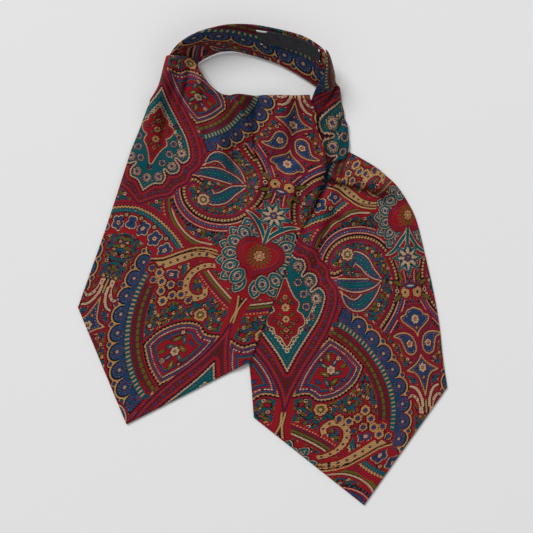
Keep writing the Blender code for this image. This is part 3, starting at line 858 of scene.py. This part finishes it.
# Painted shade: the ink colour is darkened down to 0.42 along the twill's ribs and weft, where the weave's
# grooves would lie in shade, in the same pattern as the bump below
shade = add_node(tree, "ShaderNodeMapRange", {
    "Value": tooth.outputs[0], "From Min": 0.1, "From Max": 0.8, "To Min": 0.42, "To Max": 1.0})
cloudy = add_node(tree, "ShaderNodeTexNoise", {
    "Vector": place.outputs["UV"], "Scale": 45.0, "Detail": 3.0}, noise_dimensions="2D")
uneven = add_node(tree, "ShaderNodeMapRange", {"Value": cloudy.outputs["Fac"], "To Min": 0.86, "To Max": 1.1})
value = add_node(tree, "ShaderNodeMath", {0: shade.outputs[0], 1: uneven.outputs[0]}, operation="MULTIPLY")
inked_and_shaded = add_node(tree, "ShaderNodeHueSaturation", {"Color": colour, "Value": value.outputs[0]})
gloss = add_node(tree, "ShaderNodeMapRange", {"Value": rib.outputs["Fac"], "To Min": 0.62, "To Max": 0.5})
relief = add_node(
    tree, "ShaderNodeBump", {"Height": tooth.outputs[0], "Strength": 0.3, "Distance": 0.1 * MILLIMETRE})
twill = add_node(tree, "ShaderNodeBsdfPrincipled", {
    "Base Color": inked_and_shaded.outputs[0], "Roughness": gloss.outputs[0], "Normal": relief.outputs[0],
    "Specular IOR Level": 0.08, "Sheen Weight": 0.01, "Sheen Roughness": 0.4})
tree.links.new(twill.outputs[0], output.inputs["Surface"])

UNDER_TILT = (-0.130, 0.9915)    # direction up the blade's middle
UNDER_BLADE_ROWS = (
    # left x, left y, right x, right y, point depth
    (-6.8, -127.3, 153.6, -102.1, 86.0),
    (-8.8, -102.0, 149.8, -76.0, 65.0),
    (-12.0, -70.0, 147.0, -50.0, 44.0),
    (-16.8, -38.0, 142.0, -22.0, 18.0),
    (-20.0, -6.0, 135.3, 7.5, 3.0),
    (-18.3, 22.0, 127.6, 37.5, 0.0),
    (-10.0, 46.0, 119.4, 53.5, 0.0),
    (2.0, 62.0, 109.6, 67.0, 0.0),
    (15.0, 73.0, 97.0, 77.8, 0.0),
    (28.0, 80.0, 84.0, 86.6, 0.0),
    (44.0, 86.0, 72.2, 93.0, 0.0),
)
UNDER_BLADE_RIDGES = (
    # start x, start y, end x, end y, half width, height: folds, then the softer waves that only show
    (50.0, 50.0, 118.0, 32.0, 12.0, 4.8),
    (66.0, 86.0, 128.0, 44.0, 11.0, 6.4),
    (90.0, 40.0, 104.0, -70.0, 20.0, 2.6),
    (74.0, 64.0, 126.0, 44.0, 8.0, -4.0),
    (86.0, 88.0, 128.0, 10.0, 8.0, 4.6),
    (62.0, 78.0, 30.0, -24.0, 10.0, 5.4),
    (46.0, 54.0, 92.0, 24.0, 7.0, 2.6),
    (112.0, 58.0, 132.0, -60.0, 10.0, 3.8),
    (70.0, 46.0, 62.0, -90.0, 13.0, 2.8),
    (34.0, 50.0, 18.0, -80.0, 12.0, 2.4),
    (94.0, -20.0, 106.0, -130.0, 14.0, 1.8),
)
# The tuck where the under neck's pleats run out: its folded edge, its height and reach, and how much
# of the print it takes up across and along
UNDER_TUCK = ((48.0, 73.6), (58.0, 70.4), (69.0, 66.4), (80.0, 64.0), (90.0, 61.0), (100.0, 54.0))
UNDER_TUCK_HEIGHT = 6.0
UNDER_TUCK_REACH = 12.0
UNDER_TUCK_TAKES = (3.0, 10.0)
UNDER_ANCHORS = (
    # x, y, across the print, along it
    (19.5, -124.3, 0.0, 59.0), (17.8, -88.8, 0.0, 94.0), (19.9, 11.6, 0.0, 195.0), (30.0, 60.0, 0.0, 250.0),
    (135.1, -112.9, 118.0, 65.0), (132.8, -86.3, 118.0, 92.0), (129.9, -64.7, 118.0, 113.0),
    (127.8, -46.5, 118.0, 132.0), (125.7, -24.1, 118.0, 155.0), (120.7, 6.9, 118.0, 184.5),
    (118.4, 40.3, 118.0, 224.0), (-8.0, -88.8, -26.0, 94.0), (0.0, 11.6, -20.0, 195.0),
)
FACE_SPACING = 0.68         # mm between a face ply's points, close enough for the print's thinnest line
BACK_SPACING = 1.1


def under_blade_ply(spacing, side):
    """One ply of the under blade: its middle surface, moved out towards its own side."""
    _, _, x, y = sections(UNDER_BLADE_ROWS, spacing, UNDER_TILT)
    tuck = pleat_step(x, y, UNDER_TUCK, UNDER_TUCK_HEIGHT, UNDER_TUCK_REACH)
    low = np.stack([x, y, above_table(ridges(x, y, UNDER_BLADE_RIDGES) + tuck[0])], axis=-1)
    normal = normals_of(low)
    stand = rounded(from_edge(low), HALF_SILK)[..., None]
    return low + normal * (HALF_SILK + side * stand), x, y, tuck[1].ravel()


def blade_quads(shape, side):
    """Faces of one grid, turned over for a back ply."""
    quads = quads_of(np.arange(shape[0] * shape[1]).reshape(shape))
    return quads if side > 0 else quads[:, ::-1]


for side, name, spacing in ((1, "under_blade_face", FACE_SPACING), (-1, "under_blade_back", BACK_SPACING)):
    grid, x, y, over = under_blade_ply(spacing, side)
    cloth = cloth_places(UNDER_ANCHORS, x, y) * (side, 1.0) + over[:, None] * UNDER_TUCK_TAKES
    ply = add_mesh(name, grid.reshape(-1, 3), blade_quads(x.shape, side), silk, cloth)
    finish_piece(ply, "printed_silk", "under_blade")

# Over blade and its neck
# The right-hand half crosses over: the same double blade, drawn up in folds to the neck, where it turns
# over the front rim of the loop. One sheet of cloth runs from the point to the crease at the neckband.
SILK = 1.6                  # mm, thickness of a blade
SEAM_GAP = 0.3
STEP_SLACK = 0.2            # mm more of room over the under blade
STEP_START = 22.0           # mm before the under blade's left edge where the over blade starts to climb
STEP_LENGTH = 18.0          # mm that the climb takes
OVER_TILT = (0.387, 0.922)
OVER_FACE_SPACING = 0.71
NECK_LENGTH = 40.0          # mm from the blade to the crease, over the neck
OVER_BLADE_ROWS = (
    # left x, left y, right x, right y, point depth, crest, rise
    (-152.7, -36.0, -9.6, -81.0, 80.8, 0.0, 0.0),
    (-141.1, -3.3, 4.0, -45.0, 50.0, 0.0, 0.0),
    (-127.2, 36.5, 20.0, -5.0, 22.0, 0.0, 0.0),
    (-114.6, 74.7, 36.5, 36.0, 3.0, 0.0, 0.0),
    (-109.2, 92.0, 50.5, 71.2, 0.0, 0.0, 1.6),
    (-105.6, 101.0, 51.8, 86.0, 0.0, 0.4, 2.6),
    (-101.8, 109.5, 49.8, 99.0, 0.0, 1.3, 3.8),
    (-98.2, 117.5, 45.8, 111.5, 0.0, 2.9, 5.0),
    (-94.6, 125.5, 44.0, 125.0, 0.0, 5.2, 6.4),
    (-91.1, 133.0, 39.4, 135.5, -2.5, 8.0, 8.0),
)
OVER_NECK_ROWS = (
    # left x, left y, right x, right y, crest, height at the right edge. The last two lap over the band
    (-91.0, 134.5, -24.2, 137.6, 8.5, 7.7),
    (-88.9, 138.0, -33.0, 140.0, 9.8, 9.0),
    (-86.8, 141.8, -41.0, 145.2, 11.6, 11.2),
    (-85.0, 145.6, -47.2, 151.8, 13.6, 12.6),
    (-83.6, 149.4, -52.6, 160.6, 15.8, 12.4),
    (-80.6, 158.0, -53.4, 164.4, 19.6, 9.6),
    (-77.2, 167.6, -54.6, 167.0, 22.4, 7.0),
)
OVER_BLADE_RIDGES = (
    # start x, start y, end x, end y, half width, height: folds, then the softer waves that only show
    (10.0, 124.0, 2.0, 60.0, 16.0, 3.4),
    (-54.0, 131.0, -42.0, 34.0, 16.0, 3.6),
    (-98.0, 110.0, -128.0, 0.0, 15.0, 2.0),
    (-22.0, 170.0, -22.0, 30.0, 110.0, 2.4),
    (-25.0, 154.0, -11.0, 84.0, 13.0, 9.4),
    (-6.0, 148.0, -2.0, 96.0, 8.0, -5.4),
    (-40.0, 122.0, -29.0, 50.0, 11.0, 6.6),
    (-23.0, 114.0, -17.0, 54.0, 8.0, -4.8),
    (-88.0, 156.0, -93.0, 76.0, 9.0, 7.4),
    (-76.0, 150.0, -81.0, 84.0, 8.0, -5.6),
    (-58.5, 166.0, -69.0, 116.0, 4.5, -3.6),
    (-50.0, 162.0, -58.0, 112.0, 6.0, 3.4),
    (-74.0, 168.0, -80.0, 120.0, 6.0, 2.6),
    (46.0, 138.0, 53.0, 50.0, 9.0, 5.0),
    (52.0, 110.0, 35.0, 8.0, 10.0, 6.2),
    (26.0, 84.0, 16.0, 0.0, 9.0, 4.8),
    (27.0, 142.0, 32.0, 80.0, 8.0, -4.6),
    (15.0, 142.0, 20.0, 76.0, 8.0, 4.0),
    (-2.0, 84.0, -20.0, -20.0, 10.0, 2.8),
    (-56.0, 60.0, -88.0, -90.0, 20.0, 1.8),
    (-98.0, 60.0, -128.0, -60.0, 13.0, 1.4),
    (-4.0, 50.0, -38.0, -80.0, 15.0, 1.8),
)
# The pleat that runs down the blade from the front rim, and how much of the print it takes up
NOTCH_PLEAT = ((-3.8, 78.0), (-7.9, 100.5), (-11.2, 113.8), (-17.1, 127.1), (-24.5, 141.0))
NOTCH_HEIGHT = 1.6
NOTCH_TAKES = (3.0, -2.0)
OVER_ANCHORS = (
    # x, y, across the print, along it
    (22.7, 131.1, 0.0, -152.0), (22.7, 113.3, 0.0, -132.0), (23.9, 95.5, 0.0, -111.0),
    (23.2, 79.9, 0.0, -92.0), (19.9, 64.9, 0.0, -69.0), (13.3, 39.9, 0.0, -39.5), (-2.2, 5.5, 0.0, 0.0),
    (-18.5, -35.1, 0.0, 45.0), (-25.7, -48.5, 0.0, 59.0), (-42.0, -85.0, 0.0, 99.0),
    (-98.4, 58.9, -118.0, -27.0), (-114.5, 39.8, -118.0, -1.0), (-132.4, -24.1, -118.0, 65.0),
    (-140.8, -51.8, -118.0, 92.0), (-78.9, 130.3, -118.0, -110.0), (35.6, -7.7, 40.0, 0.0),
    (53.8, 92.9, 30.0, -111.0), (11.0, -64.5, 40.0, 59.0), (-51.0, -34.0, -29.0, 59.0),
)
BANK_WIDTH = 0.12           # share of a section that the bank at its left edge takes
RISE_POWER = 2.4
ROLL_ROWS = 6               # rows in the rolled edges at the blade's top and at the neckband
ROLL_REACH = 1.2            # mm that a rolled edge goes out
ROLL_DROP = 2.6             # mm that it goes down
CREASE_DROP = 0.12          # share of its height that the neck loses in the crease at the neckband
HEM_START = 147.0           # mm along Y where the neck's left edge leaves the table, to lap over the band
HEM_RISE = 17.0             # mm that it has risen a lap's length further on
LAP_LENGTH = 22.0


def bank(share, width):
    """Rounded bank at a section's left edge: up a quarter ellipse, then level."""
    return np.sqrt(1.0 - np.clip(1.0 - share / width, 0.0, 1.0) ** 2)


def rolled_over(last, drop, slope=0.0):
    """Rows that carry a grid's last row over a quarter turn: out along +Y, and down by each point's drop.

    A point that doesn't drop goes on outwards at its own slope.
    """
    turn = np.linspace(0.0, np.pi / 2.0, ROLL_ROWS + 1)[1:, None]
    rows = np.repeat(last[None], ROLL_ROWS, axis=0)
    rows[..., 1] += ROLL_REACH * np.sin(turn)
    rows[..., 2] += ROLL_REACH * np.sin(turn) * slope - drop * (1.0 - np.cos(turn))
    return rows


def over_cloth(spacing):
    """Lower faces of the over blade and of its neck, on grids that share the blade's last row to its middle.

    The blade is flat on the table, steps up over the under blade, and rises to the neck: to a crest at its
    left edge, and by a late power curve at its right edge. The neck arches from the table to the loop's
    front rim.
    """
    rows, share, x, y = sections(OVER_BLADE_ROWS, spacing, OVER_TILT)
    crest, rise = np.maximum(rows[:, 5:6], 0.0), np.maximum(rows[:, 6:7], 0.0)
    under_edge = np.array(UNDER_BLADE_ROWS)
    past_edge = x - np.interp(y, under_edge[:, 1], under_edge[:, 0])
    step = (SILK + SEAM_GAP + STEP_SLACK) * ease((past_edge + STEP_START) / STEP_LENGTH)
    z = step + crest * bank(share, BANK_WIDTH) + rise * share**RISE_POWER
    z += ridges(x, y, OVER_BLADE_RIDGES) + pleat_step(x, y, NOTCH_PLEAT, NOTCH_HEIGHT)[0]
    blade = np.stack([x, y, above_table(z)], axis=-1)
    rise_y, rise_z = (blade[-1] - blade[-6])[:, 1:].T
    slope = rise_z / rise_y * (1.0 - ease((share[0] - 0.45) / 0.1))
    blade = np.vstack([blade, rolled_over(blade[-1], ROLL_DROP * ease((share - 0.5) / 0.1), slope)])
    half = share.shape[1] // 2 + 1
    neck_share = share[:, :half] * 2.0
    count = int(NECK_LENGTH / spacing)
    rows = between_rows(OVER_NECK_ROWS, np.linspace(0.0, 1.0, count))
    left_x, left_y, right_x, right_y, crest, right = (rows[:, k:k + 1] for k in range(6))
    hem = HEM_RISE * ease((left_y - HEM_START) / LAP_LENGTH)
    z = hem + (crest - hem) * bank(neck_share, 2.0 * BANK_WIDTH) + (right - crest) * neck_share**RISE_POWER
    z -= ROLL_DROP * ease((neck_share - 0.93) / 0.07)
    x, y = left_x + (right_x - left_x) * neck_share, left_y + (right_y - left_y) * neck_share
    neck = np.stack([x, y, above_table(z + ridges(x, y, OVER_BLADE_RIDGES))], axis=-1)
    fade = 1.0 - ease(np.linspace(0.0, 1.8, count))[:, None, None]
    neck += (blade[-1, :half] - neck[0]) * fade
    neck = np.vstack([neck, rolled_over(neck[-1], CREASE_DROP * neck[-1, :, 2])])
    return blade, neck, share


def over_ply(spacing, side):
    """One ply of the over cloth as points and faces: the neck's grid is sewn on by sharing its first row."""
    blade, neck, share = over_cloth(spacing)
    half = neck.shape[1]
    joined = np.concatenate([blade[:, :half], neck[1:]])
    blade_normal, joined_normal = normals_of(blade), normals_of(joined)
    blade_normal[-ROLL_ROWS:, :half] = joined_normal[len(blade) - ROLL_ROWS:len(blade)]
    normal = np.concatenate([blade_normal.reshape(-1, 3), joined_normal[len(blade):].reshape(-1, 3)])
    top_edge = from_edge(blade, False, True, False, False) + 60.0 * ease((0.5 - share) / 0.05)
    blade_edge = np.minimum(from_edge(blade, True, False, True, True), top_edge)
    neck_edge = from_edge(joined, False, True, True, True)[len(blade):]
    stand = rounded(np.concatenate([blade_edge.ravel(), neck_edge.ravel()]), HALF_SILK)[:, None]
    low = np.concatenate([blade.reshape(-1, 3), neck[1:].reshape(-1, 3)])
    numbers = np.arange(len(blade) * blade.shape[1]).reshape(blade.shape[:2])
    more = np.arange(neck[1:, :, 0].size).reshape(len(neck) - 1, half) + numbers.size
    quads = np.concatenate([quads_of(numbers), quads_of(np.concatenate([numbers[-1:, :half], more]))])
    return low + normal * (HALF_SILK + side * stand), quads if side > 0 else quads[:, ::-1]


for side, name, spacing in ((1, "over_blade_face", OVER_FACE_SPACING), (-1, "over_blade_back", BACK_SPACING)):
    points, quads = over_ply(spacing, side)
    cloth = cloth_places(OVER_ANCHORS, points[:, 0], points[:, 1]) * (side, 1.0)
    cloth += pleat_step(points[:, 0], points[:, 1], NOTCH_PLEAT, NOTCH_HEIGHT)[1][:, None] * NOTCH_TAKES
    ply = add_mesh(name, points, quads, silk, cloth)
    finish_piece(ply, "printed_silk", "over_blade", "over_neck")

# Neckband
# The blades' silk goes on round the neck as a band: pleated lengthways to a quarter of its width, pressed,
# and the pleats sewn down on its outer side. It stands on its lower edge, leaning outwards, open in front.
NECKBAND_ROWS = (
    # bottom x, bottom y, top x, top y, top height (inner face)
    (-56.4, 160.6, -77.2, 151.0, 10.8),
    (-53.4, 164.4, -78.0, 157.6, 14.0),
    (-49.6, 168.2, -76.0, 166.0, 19.0),
    (-41.5, 172.4, -70.8, 174.0, 24.0),
    (-33.2, 175.1, -62.4, 181.0, 26.4),
    (-22.4, 175.5, -49.6, 187.4, 27.2),
    (-10.0, 172.6, -29.6, 192.4, 27.4),
    (2.5, 168.9, -9.6, 192.8, 27.4),
    (14.9, 164.3, 10.4, 189.6, 27.4),
    (27.4, 157.7, 30.2, 184.6, 27.4),
    (38.2, 151.1, 40.0, 179.8, 27.4),
    (46.6, 145.6, 46.6, 175.2, 27.0),
    (54.0, 142.6, 50.0, 171.0, 27.0),
    (60.4, 140.6, 53.0, 168.0, 25.2),
)
NECKBAND_FOOT = 2.0         # mm, height of the inner face's lower edge
NECKBAND_BELLY = 1.6        # mm that its middle bows away from the loop
HALF_BAND = 1.1             # mm from the band's middle to its faces, over the pleats
NECKBAND_WIDTH = 39.0
# Share of the width where a pleat's fold lies, and its height in mm
PLEATS = ((0.30, 1.0), (0.52, 0.8), (0.76, 0.9))
INNER_FOLD = (0.17, 0.7)    # the seam allowance's edge, felt through the inner ply
PLEAT_TAKES = 9.0           # mm of print hidden in each pleat
BAND_PRINT = (108.0, 150.0)     # place on the flat cloth where the band starts
BAND_PRINT_PACE = 0.85      # mm of print for one mm of band, over its outer curve


def neckband_surface(places, widths):
    """Inner face at shares of the band's length and width: straight across, with a slight belly."""
    rows = between_rows(NECKBAND_ROWS, places)
    foot_x, foot_y, head_x, head_y, head_z = (rows[:, k:k + 1] for k in range(5))
    belly = 1.0 + NECKBAND_BELLY / 25.0 * np.sin(np.pi * widths) / np.maximum(widths, 0.2)
    x = foot_x + (head_x - foot_x) * widths * belly
    y = foot_y + (head_y - foot_y) * widths * belly
    z = NECKBAND_FOOT + (head_z - NECKBAND_FOOT) * widths
    return np.stack([x, y, z], axis=-1)


def pleat(widths, place, height):
    """Height of a pleat: its fold stands up sharply at its place and slopes away over the next 7 mm."""
    over = (widths - place) * NECKBAND_WIDTH
    return height * ease(over / 0.7) * (1.0 - ease((over - 0.8) / 6.0))


dense_places = np.linspace(0.0, 1.0, 300)
band_dense = neckband_surface(dense_places, np.array([[0.0, 0.5, 1.0]]))
band_walk = np.linalg.norm(np.diff(band_dense[:, 1], axis=0), axis=-1).cumsum()
band_length = band_walk[-1]
band_shares = evenly(band_length, FACE_SPACING)
band_places = np.interp(band_shares * band_length, np.concatenate([[0.0], band_walk]), dense_places)
band_widths = evenly(NECKBAND_WIDTH, 0.55)[None, :]
band_inner = neckband_surface(band_places, band_widths)
band_normal = normals_of(band_inner)
band_stand = rounded(from_edge(band_inner), HALF_BAND)
band_along = band_shares[:, None] * band_length + 0.0 * band_widths
for side, name in ((1, "neckband_outside"), (-1, "neckband_inside")):
    extra = sum(pleat(band_widths, *fold) for fold in PLEATS) if side > 0 else pleat(band_widths, *INNER_FOLD)
    extra = extra * np.clip(band_stand / HALF_BAND, 0.0, 1.0)
    grid = band_inner + band_normal * (HALF_BAND + side * (band_stand + extra))[..., None]
    tuck = PLEAT_TAKES * sum(ease((band_widths - place) / 0.02) for place, _ in PLEATS) if side > 0 else 0.0
    across = BAND_PRINT[0] - band_widths * NECKBAND_WIDTH - tuck + 0.0 * band_along
    cloth = np.stack([across, BAND_PRINT[1] - BAND_PRINT_PACE * band_along], axis=-1)
    ply = add_mesh(name, grid.reshape(-1, 3), blade_quads(grid.shape[:2], side), silk, cloth.reshape(-1, 2))
    finish_piece(ply, "printed_silk", "neckband")

# Under neck
# Right-hand stretch between the neckband and the under blade. Its pleats open here: it turns over from a
# standing wall to lie on the under blade, and two of the pleats fan out across it.
UNDER_NECK_ROWS = (
    # outer x, outer y, outer height, inner x, inner y, inner height, bulge (lower face)
    (52.6, 171.4, 27.0, 51.0, 173.2, 28.4, 0.0),
    (55.6, 164.3, 21.6, 51.8, 166.0, 28.4, 1.0),
    (58.2, 156.9, 14.0, 51.0, 157.8, 27.4, 1.6),
    (60.6, 149.4, 7.0, 48.0, 151.3, 24.6, 2.4),
    (62.8, 142.8, 2.0, 43.9, 144.0, 20.2, 3.0),
    (65.0, 135.3, 0.0, 40.6, 135.6, 12.0, 3.4),
    (68.4, 122.0, 0.0, 37.6, 125.1, 7.6, 3.4),
    (71.0, 108.7, 0.0, 38.4, 110.6, 5.2, 3.0),
    (71.6, 97.0, 1.6, 43.0, 95.6, 3.4, 2.2),
    (68.6, 87.0, 2.2, 49.7, 83.0, 2.2, 1.0),
)
UNDER_NECK_CREASES = (
    # start along, start in, end along, end in, half width, height
    (24.0, 0.0, 68.0, 18.0, 4.0, -1.5),
    (60.0, -1.0, 92.0, 23.0, 4.0, -1.6),
)
UNDER_NECK_LENGTH = 95.0
UNDER_NECK_WIDTH = 27.0
# The print runs slantwise here: a place on the neck, the place on the flat cloth that it shows, and the
# cosine and sine of the slant
NECK_PLACE = (70.0, 3.0)
NECK_PRINT = (18.0, 150.0)
NECK_PRINT_TURN = (0.87, 0.5)
FOLD_LINES = (
    # two pleats' folds as seen from above, from the outer edge inwards
    ((60.4, 155.4), (60.4, 145.4), (53.6, 130.8), (48.0, 122.0), (43.0, 114.0)),
    ((66.0, 131.0), (67.6, 118.0), (65.4, 111.0), (62.4, 105.6), (56.6, 98.6), (50.6, 93.4)),
)
neck_length = evenly(UNDER_NECK_LENGTH, FACE_SPACING)
neck_share = evenly(UNDER_NECK_WIDTH, 0.5)[None, :]
rows = between_rows(UNDER_NECK_ROWS, neck_length)
neck_grid = rows[:, None, 0:3] + (rows[:, None, 3:6] - rows[:, None, 0:3]) * neck_share[..., None]
neck_along = neck_length[:, None] * UNDER_NECK_LENGTH + 0.0 * neck_share
neck_in = UNDER_NECK_WIDTH * neck_share + 0.0 * neck_along
arch = rows[:, 6:7] * np.sin(np.pi * neck_share) + ridges(neck_along, neck_in, UNDER_NECK_CREASES)
neck_grid[..., 0] += 0.45 * arch
neck_grid[..., 2] = np.maximum(neck_grid[..., 2] + 0.9 * arch, 0.0)
neck_normal = normals_of(neck_grid)
neck_stand = rounded(from_edge(neck_grid), HALF_SILK)
folds = [pleat_step(neck_grid[..., 0], neck_grid[..., 1], line, 1.7) for line in FOLD_LINES]
for side, name in ((1, "under_neck_face"), (-1, "under_neck_back")):
    lift = sum(fold[0] for fold in folds) * np.clip(neck_stand / HALF_SILK, 0.0, 1.0) if side > 0 else 0.0
    grid = neck_grid + neck_normal * (HALF_SILK + side * neck_stand + lift)[..., None]
    along, inwards = neck_along - NECK_PLACE[0], neck_in - NECK_PLACE[1]
    cloth = np.stack([
        NECK_PRINT[0] - NECK_PRINT_TURN[1] * along + NECK_PRINT_TURN[0] * inwards,
        NECK_PRINT[1] + NECK_PRINT_TURN[0] * along + NECK_PRINT_TURN[1] * inwards], axis=-1)
    ply = add_mesh(name, grid.reshape(-1, 3), blade_quads(grid.shape[:2], side), silk, cloth.reshape(-1, 2))
    finish_piece(ply, "printed_silk", "under_neck")

# Label
# A plain woven label of black satin. It lies on the neckband's inner face, and is sewn there by its
# corners with white thread.
LABEL_REACH = (0.553, 0.868)    # shares of the band's length where it starts and ends
LABEL_FOOT = (0.46, 0.66)       # shares of the band's width where its lower edge lies at both ends
LABEL_HEAD = (0.905, 0.965)     # the same for its upper edge
LABEL_CLOTH = 1.0               # mm, its thickness with its edge turned under
LABEL_SIZE = (54.0, 14.0)
LABEL_GRID = (130, 50)
label_share = np.linspace(0.0, 1.0, LABEL_GRID[0])[:, None]
label_foot = LABEL_FOOT[0] + (LABEL_FOOT[1] - LABEL_FOOT[0]) * label_share
label_head = LABEL_HEAD[0] + (LABEL_HEAD[1] - LABEL_HEAD[0]) * label_share
label_across = np.linspace(0.0, 1.0, LABEL_GRID[1])[None, :]
label_places = LABEL_REACH[0] + (LABEL_REACH[1] - LABEL_REACH[0]) * label_share[:, 0]
label_seat = neckband_surface(label_places, label_foot + (label_head - label_foot) * label_across)
label_normal = normals_of(label_seat)
label_stand = rounded(from_edge(label_seat), 0.5 * LABEL_CLOTH, 0.5)[..., None]
satin, tree, output = new_material("woven black satin")
# Painted sheen: the colour is lighter grey in streaks along the fine weft floats, standing in for satin's
# grey lustre
place = add_node(tree, "ShaderNodeUVMap", uv_map="cloth")
stretched = add_node(
    tree, "ShaderNodeMapping", {"Vector": place.outputs["UV"], "Scale": (300.0, 1300.0, 1.0)})
floats = add_node(
    tree, "ShaderNodeTexNoise", {"Vector": stretched.outputs[0], "Scale": 1.0, "Detail": 2.0},
    noise_dimensions="2D")
painted_sheen_streaks = add_node(
    tree, "ShaderNodeMapRange", {"Value": floats.outputs["Fac"], "From Min": 0.3, "From Max": 0.7})
painted_lustre_tone = add_node(tree, "ShaderNodeMix", {
    0: painted_sheen_streaks.outputs[0], 6: (*linear("17181c"), 1.0), 7: (*linear("36373d"), 1.0)}, data_type="RGBA")
relief = add_node(
    tree, "ShaderNodeBump",
    {"Height": floats.outputs["Fac"], "Strength": 0.3, "Distance": 0.08 * MILLIMETRE})
shine = add_node(tree, "ShaderNodeBsdfPrincipled", {
    "Base Color": painted_lustre_tone.outputs[2], "Roughness": 0.42, "Normal": relief.outputs[0], "Specular IOR Level": 0.3,
    "Sheen Weight": 0.04, "Sheen Roughness": 0.3})
tree.links.new(shine.outputs[0], output.inputs["Surface"])
label_cloth = np.stack(np.broadcast_arrays(
    label_share * LABEL_SIZE[0], label_across * LABEL_SIZE[1]), axis=-1).reshape(-1, 2)
for side, name in ((1, "label_face"), (-1, "label_back")):
    middle = label_seat - label_normal * (SEAM_GAP + 0.5 * LABEL_CLOTH)
    grid = middle - side * label_normal * label_stand
    quads = blade_quads(grid.shape[:2], -side)
    ply = add_mesh(name, grid.reshape(-1, 3), quads, satin)
    uv = (label_cloth[quads.ravel()] * MILLIMETRE).ravel()
    ply.data.uv_layers.new(name="cloth").data.foreach_set("uv", uv)
    finish_piece(ply, "label_satin", "label")

# Label stitches
# White polyester thread holds the label by its corners: a few turns side by side at each, drawn tight
# over its edge by hand.
STITCHES = (
    # shares of the label's length and width where a thread starts, then how far it runs along each
    (0.000, 0.985, 0.130, 0.00),
    (0.000, 0.930, 0.120, 0.00),
    (0.915, 0.985, 0.085, 0.00),
    (0.930, 0.935, 0.070, 0.00),
    (0.000, 0.060, 0.030, -0.05),
    (0.972, 0.080, 0.028, -0.06),
)
THREAD_RADIUS = 0.38
THREAD_GRID = (13, 11)      # points along a thread, and round it
THREAD_LIFT = 0.35          # mm that a thread arches off the label


def thread(start, end, lift):
    """A thread between two places: a round tube along a half sine arch, thinning to nothing at both ends."""
    share = np.linspace(0.0, 1.0, THREAD_GRID[0])[:, None, None]
    turn = np.linspace(0.0, 2.0 * np.pi, THREAD_GRID[1])[None, :, None]
    run = (end - start) / np.linalg.norm(end - start)
    side = np.cross(run, lift / np.linalg.norm(lift))
    radius = THREAD_RADIUS * np.sqrt(np.clip(1.0 - (2.0 * share - 1.0) ** 4, 0.0, 1.0))
    middle = start + (end - start) * share + lift * np.sin(np.pi * share) ** 0.5
    return middle + radius * (side * np.cos(turn) + lift / np.linalg.norm(lift) * np.sin(turn))


last_row, last_column = LABEL_GRID[0] - 1, LABEL_GRID[1] - 1
thread_points, thread_quads = [], []
label_top = label_seat - label_normal * (SEAM_GAP + LABEL_CLOTH)
for share_a, width_a, run_a, run_w in STITCHES:
    first = (int(share_a * last_row), int(width_a * last_column))
    last = (
        min(int((share_a + run_a) * last_row), last_row),
        int(np.clip(width_a + run_w, 0.0, 1.0) * last_column),
    )
    tube = thread(label_top[first], label_top[last], -THREAD_LIFT * label_normal[first])
    numbers = np.arange(tube[..., 0].size).reshape(THREAD_GRID)
    thread_quads.append(quads_of(numbers) + numbers.size * len(thread_points))
    thread_points.append(tube.reshape(-1, 3))
polyester, tree, output = new_material("white polyester thread")
# Painted highlight: fine slanting lighter lines along the thread, where its twisted plies would catch the
# light
place = add_node(tree, "ShaderNodeTexCoord")
plies = add_node(
    tree, "ShaderNodeTexWave", {"Vector": place.outputs["Object"], "Scale": 520.0},
    bands_direction="DIAGONAL")
painted_lustre_tone = add_node(tree, "ShaderNodeMix", {
    0: plies.outputs["Fac"], 6: (*linear("b9b6b2"), 1.0), 7: (*linear("efeeec"), 1.0)}, data_type="RGBA")
lustre = add_node(tree, "ShaderNodeBsdfPrincipled", {"Base Color": painted_lustre_tone.outputs[2], "Roughness": 0.5})
tree.links.new(lustre.outputs[0], output.inputs["Surface"])
stitches = add_mesh("label_stitches", np.concatenate(thread_points), np.concatenate(thread_quads), polyester)
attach(stitches, "root")
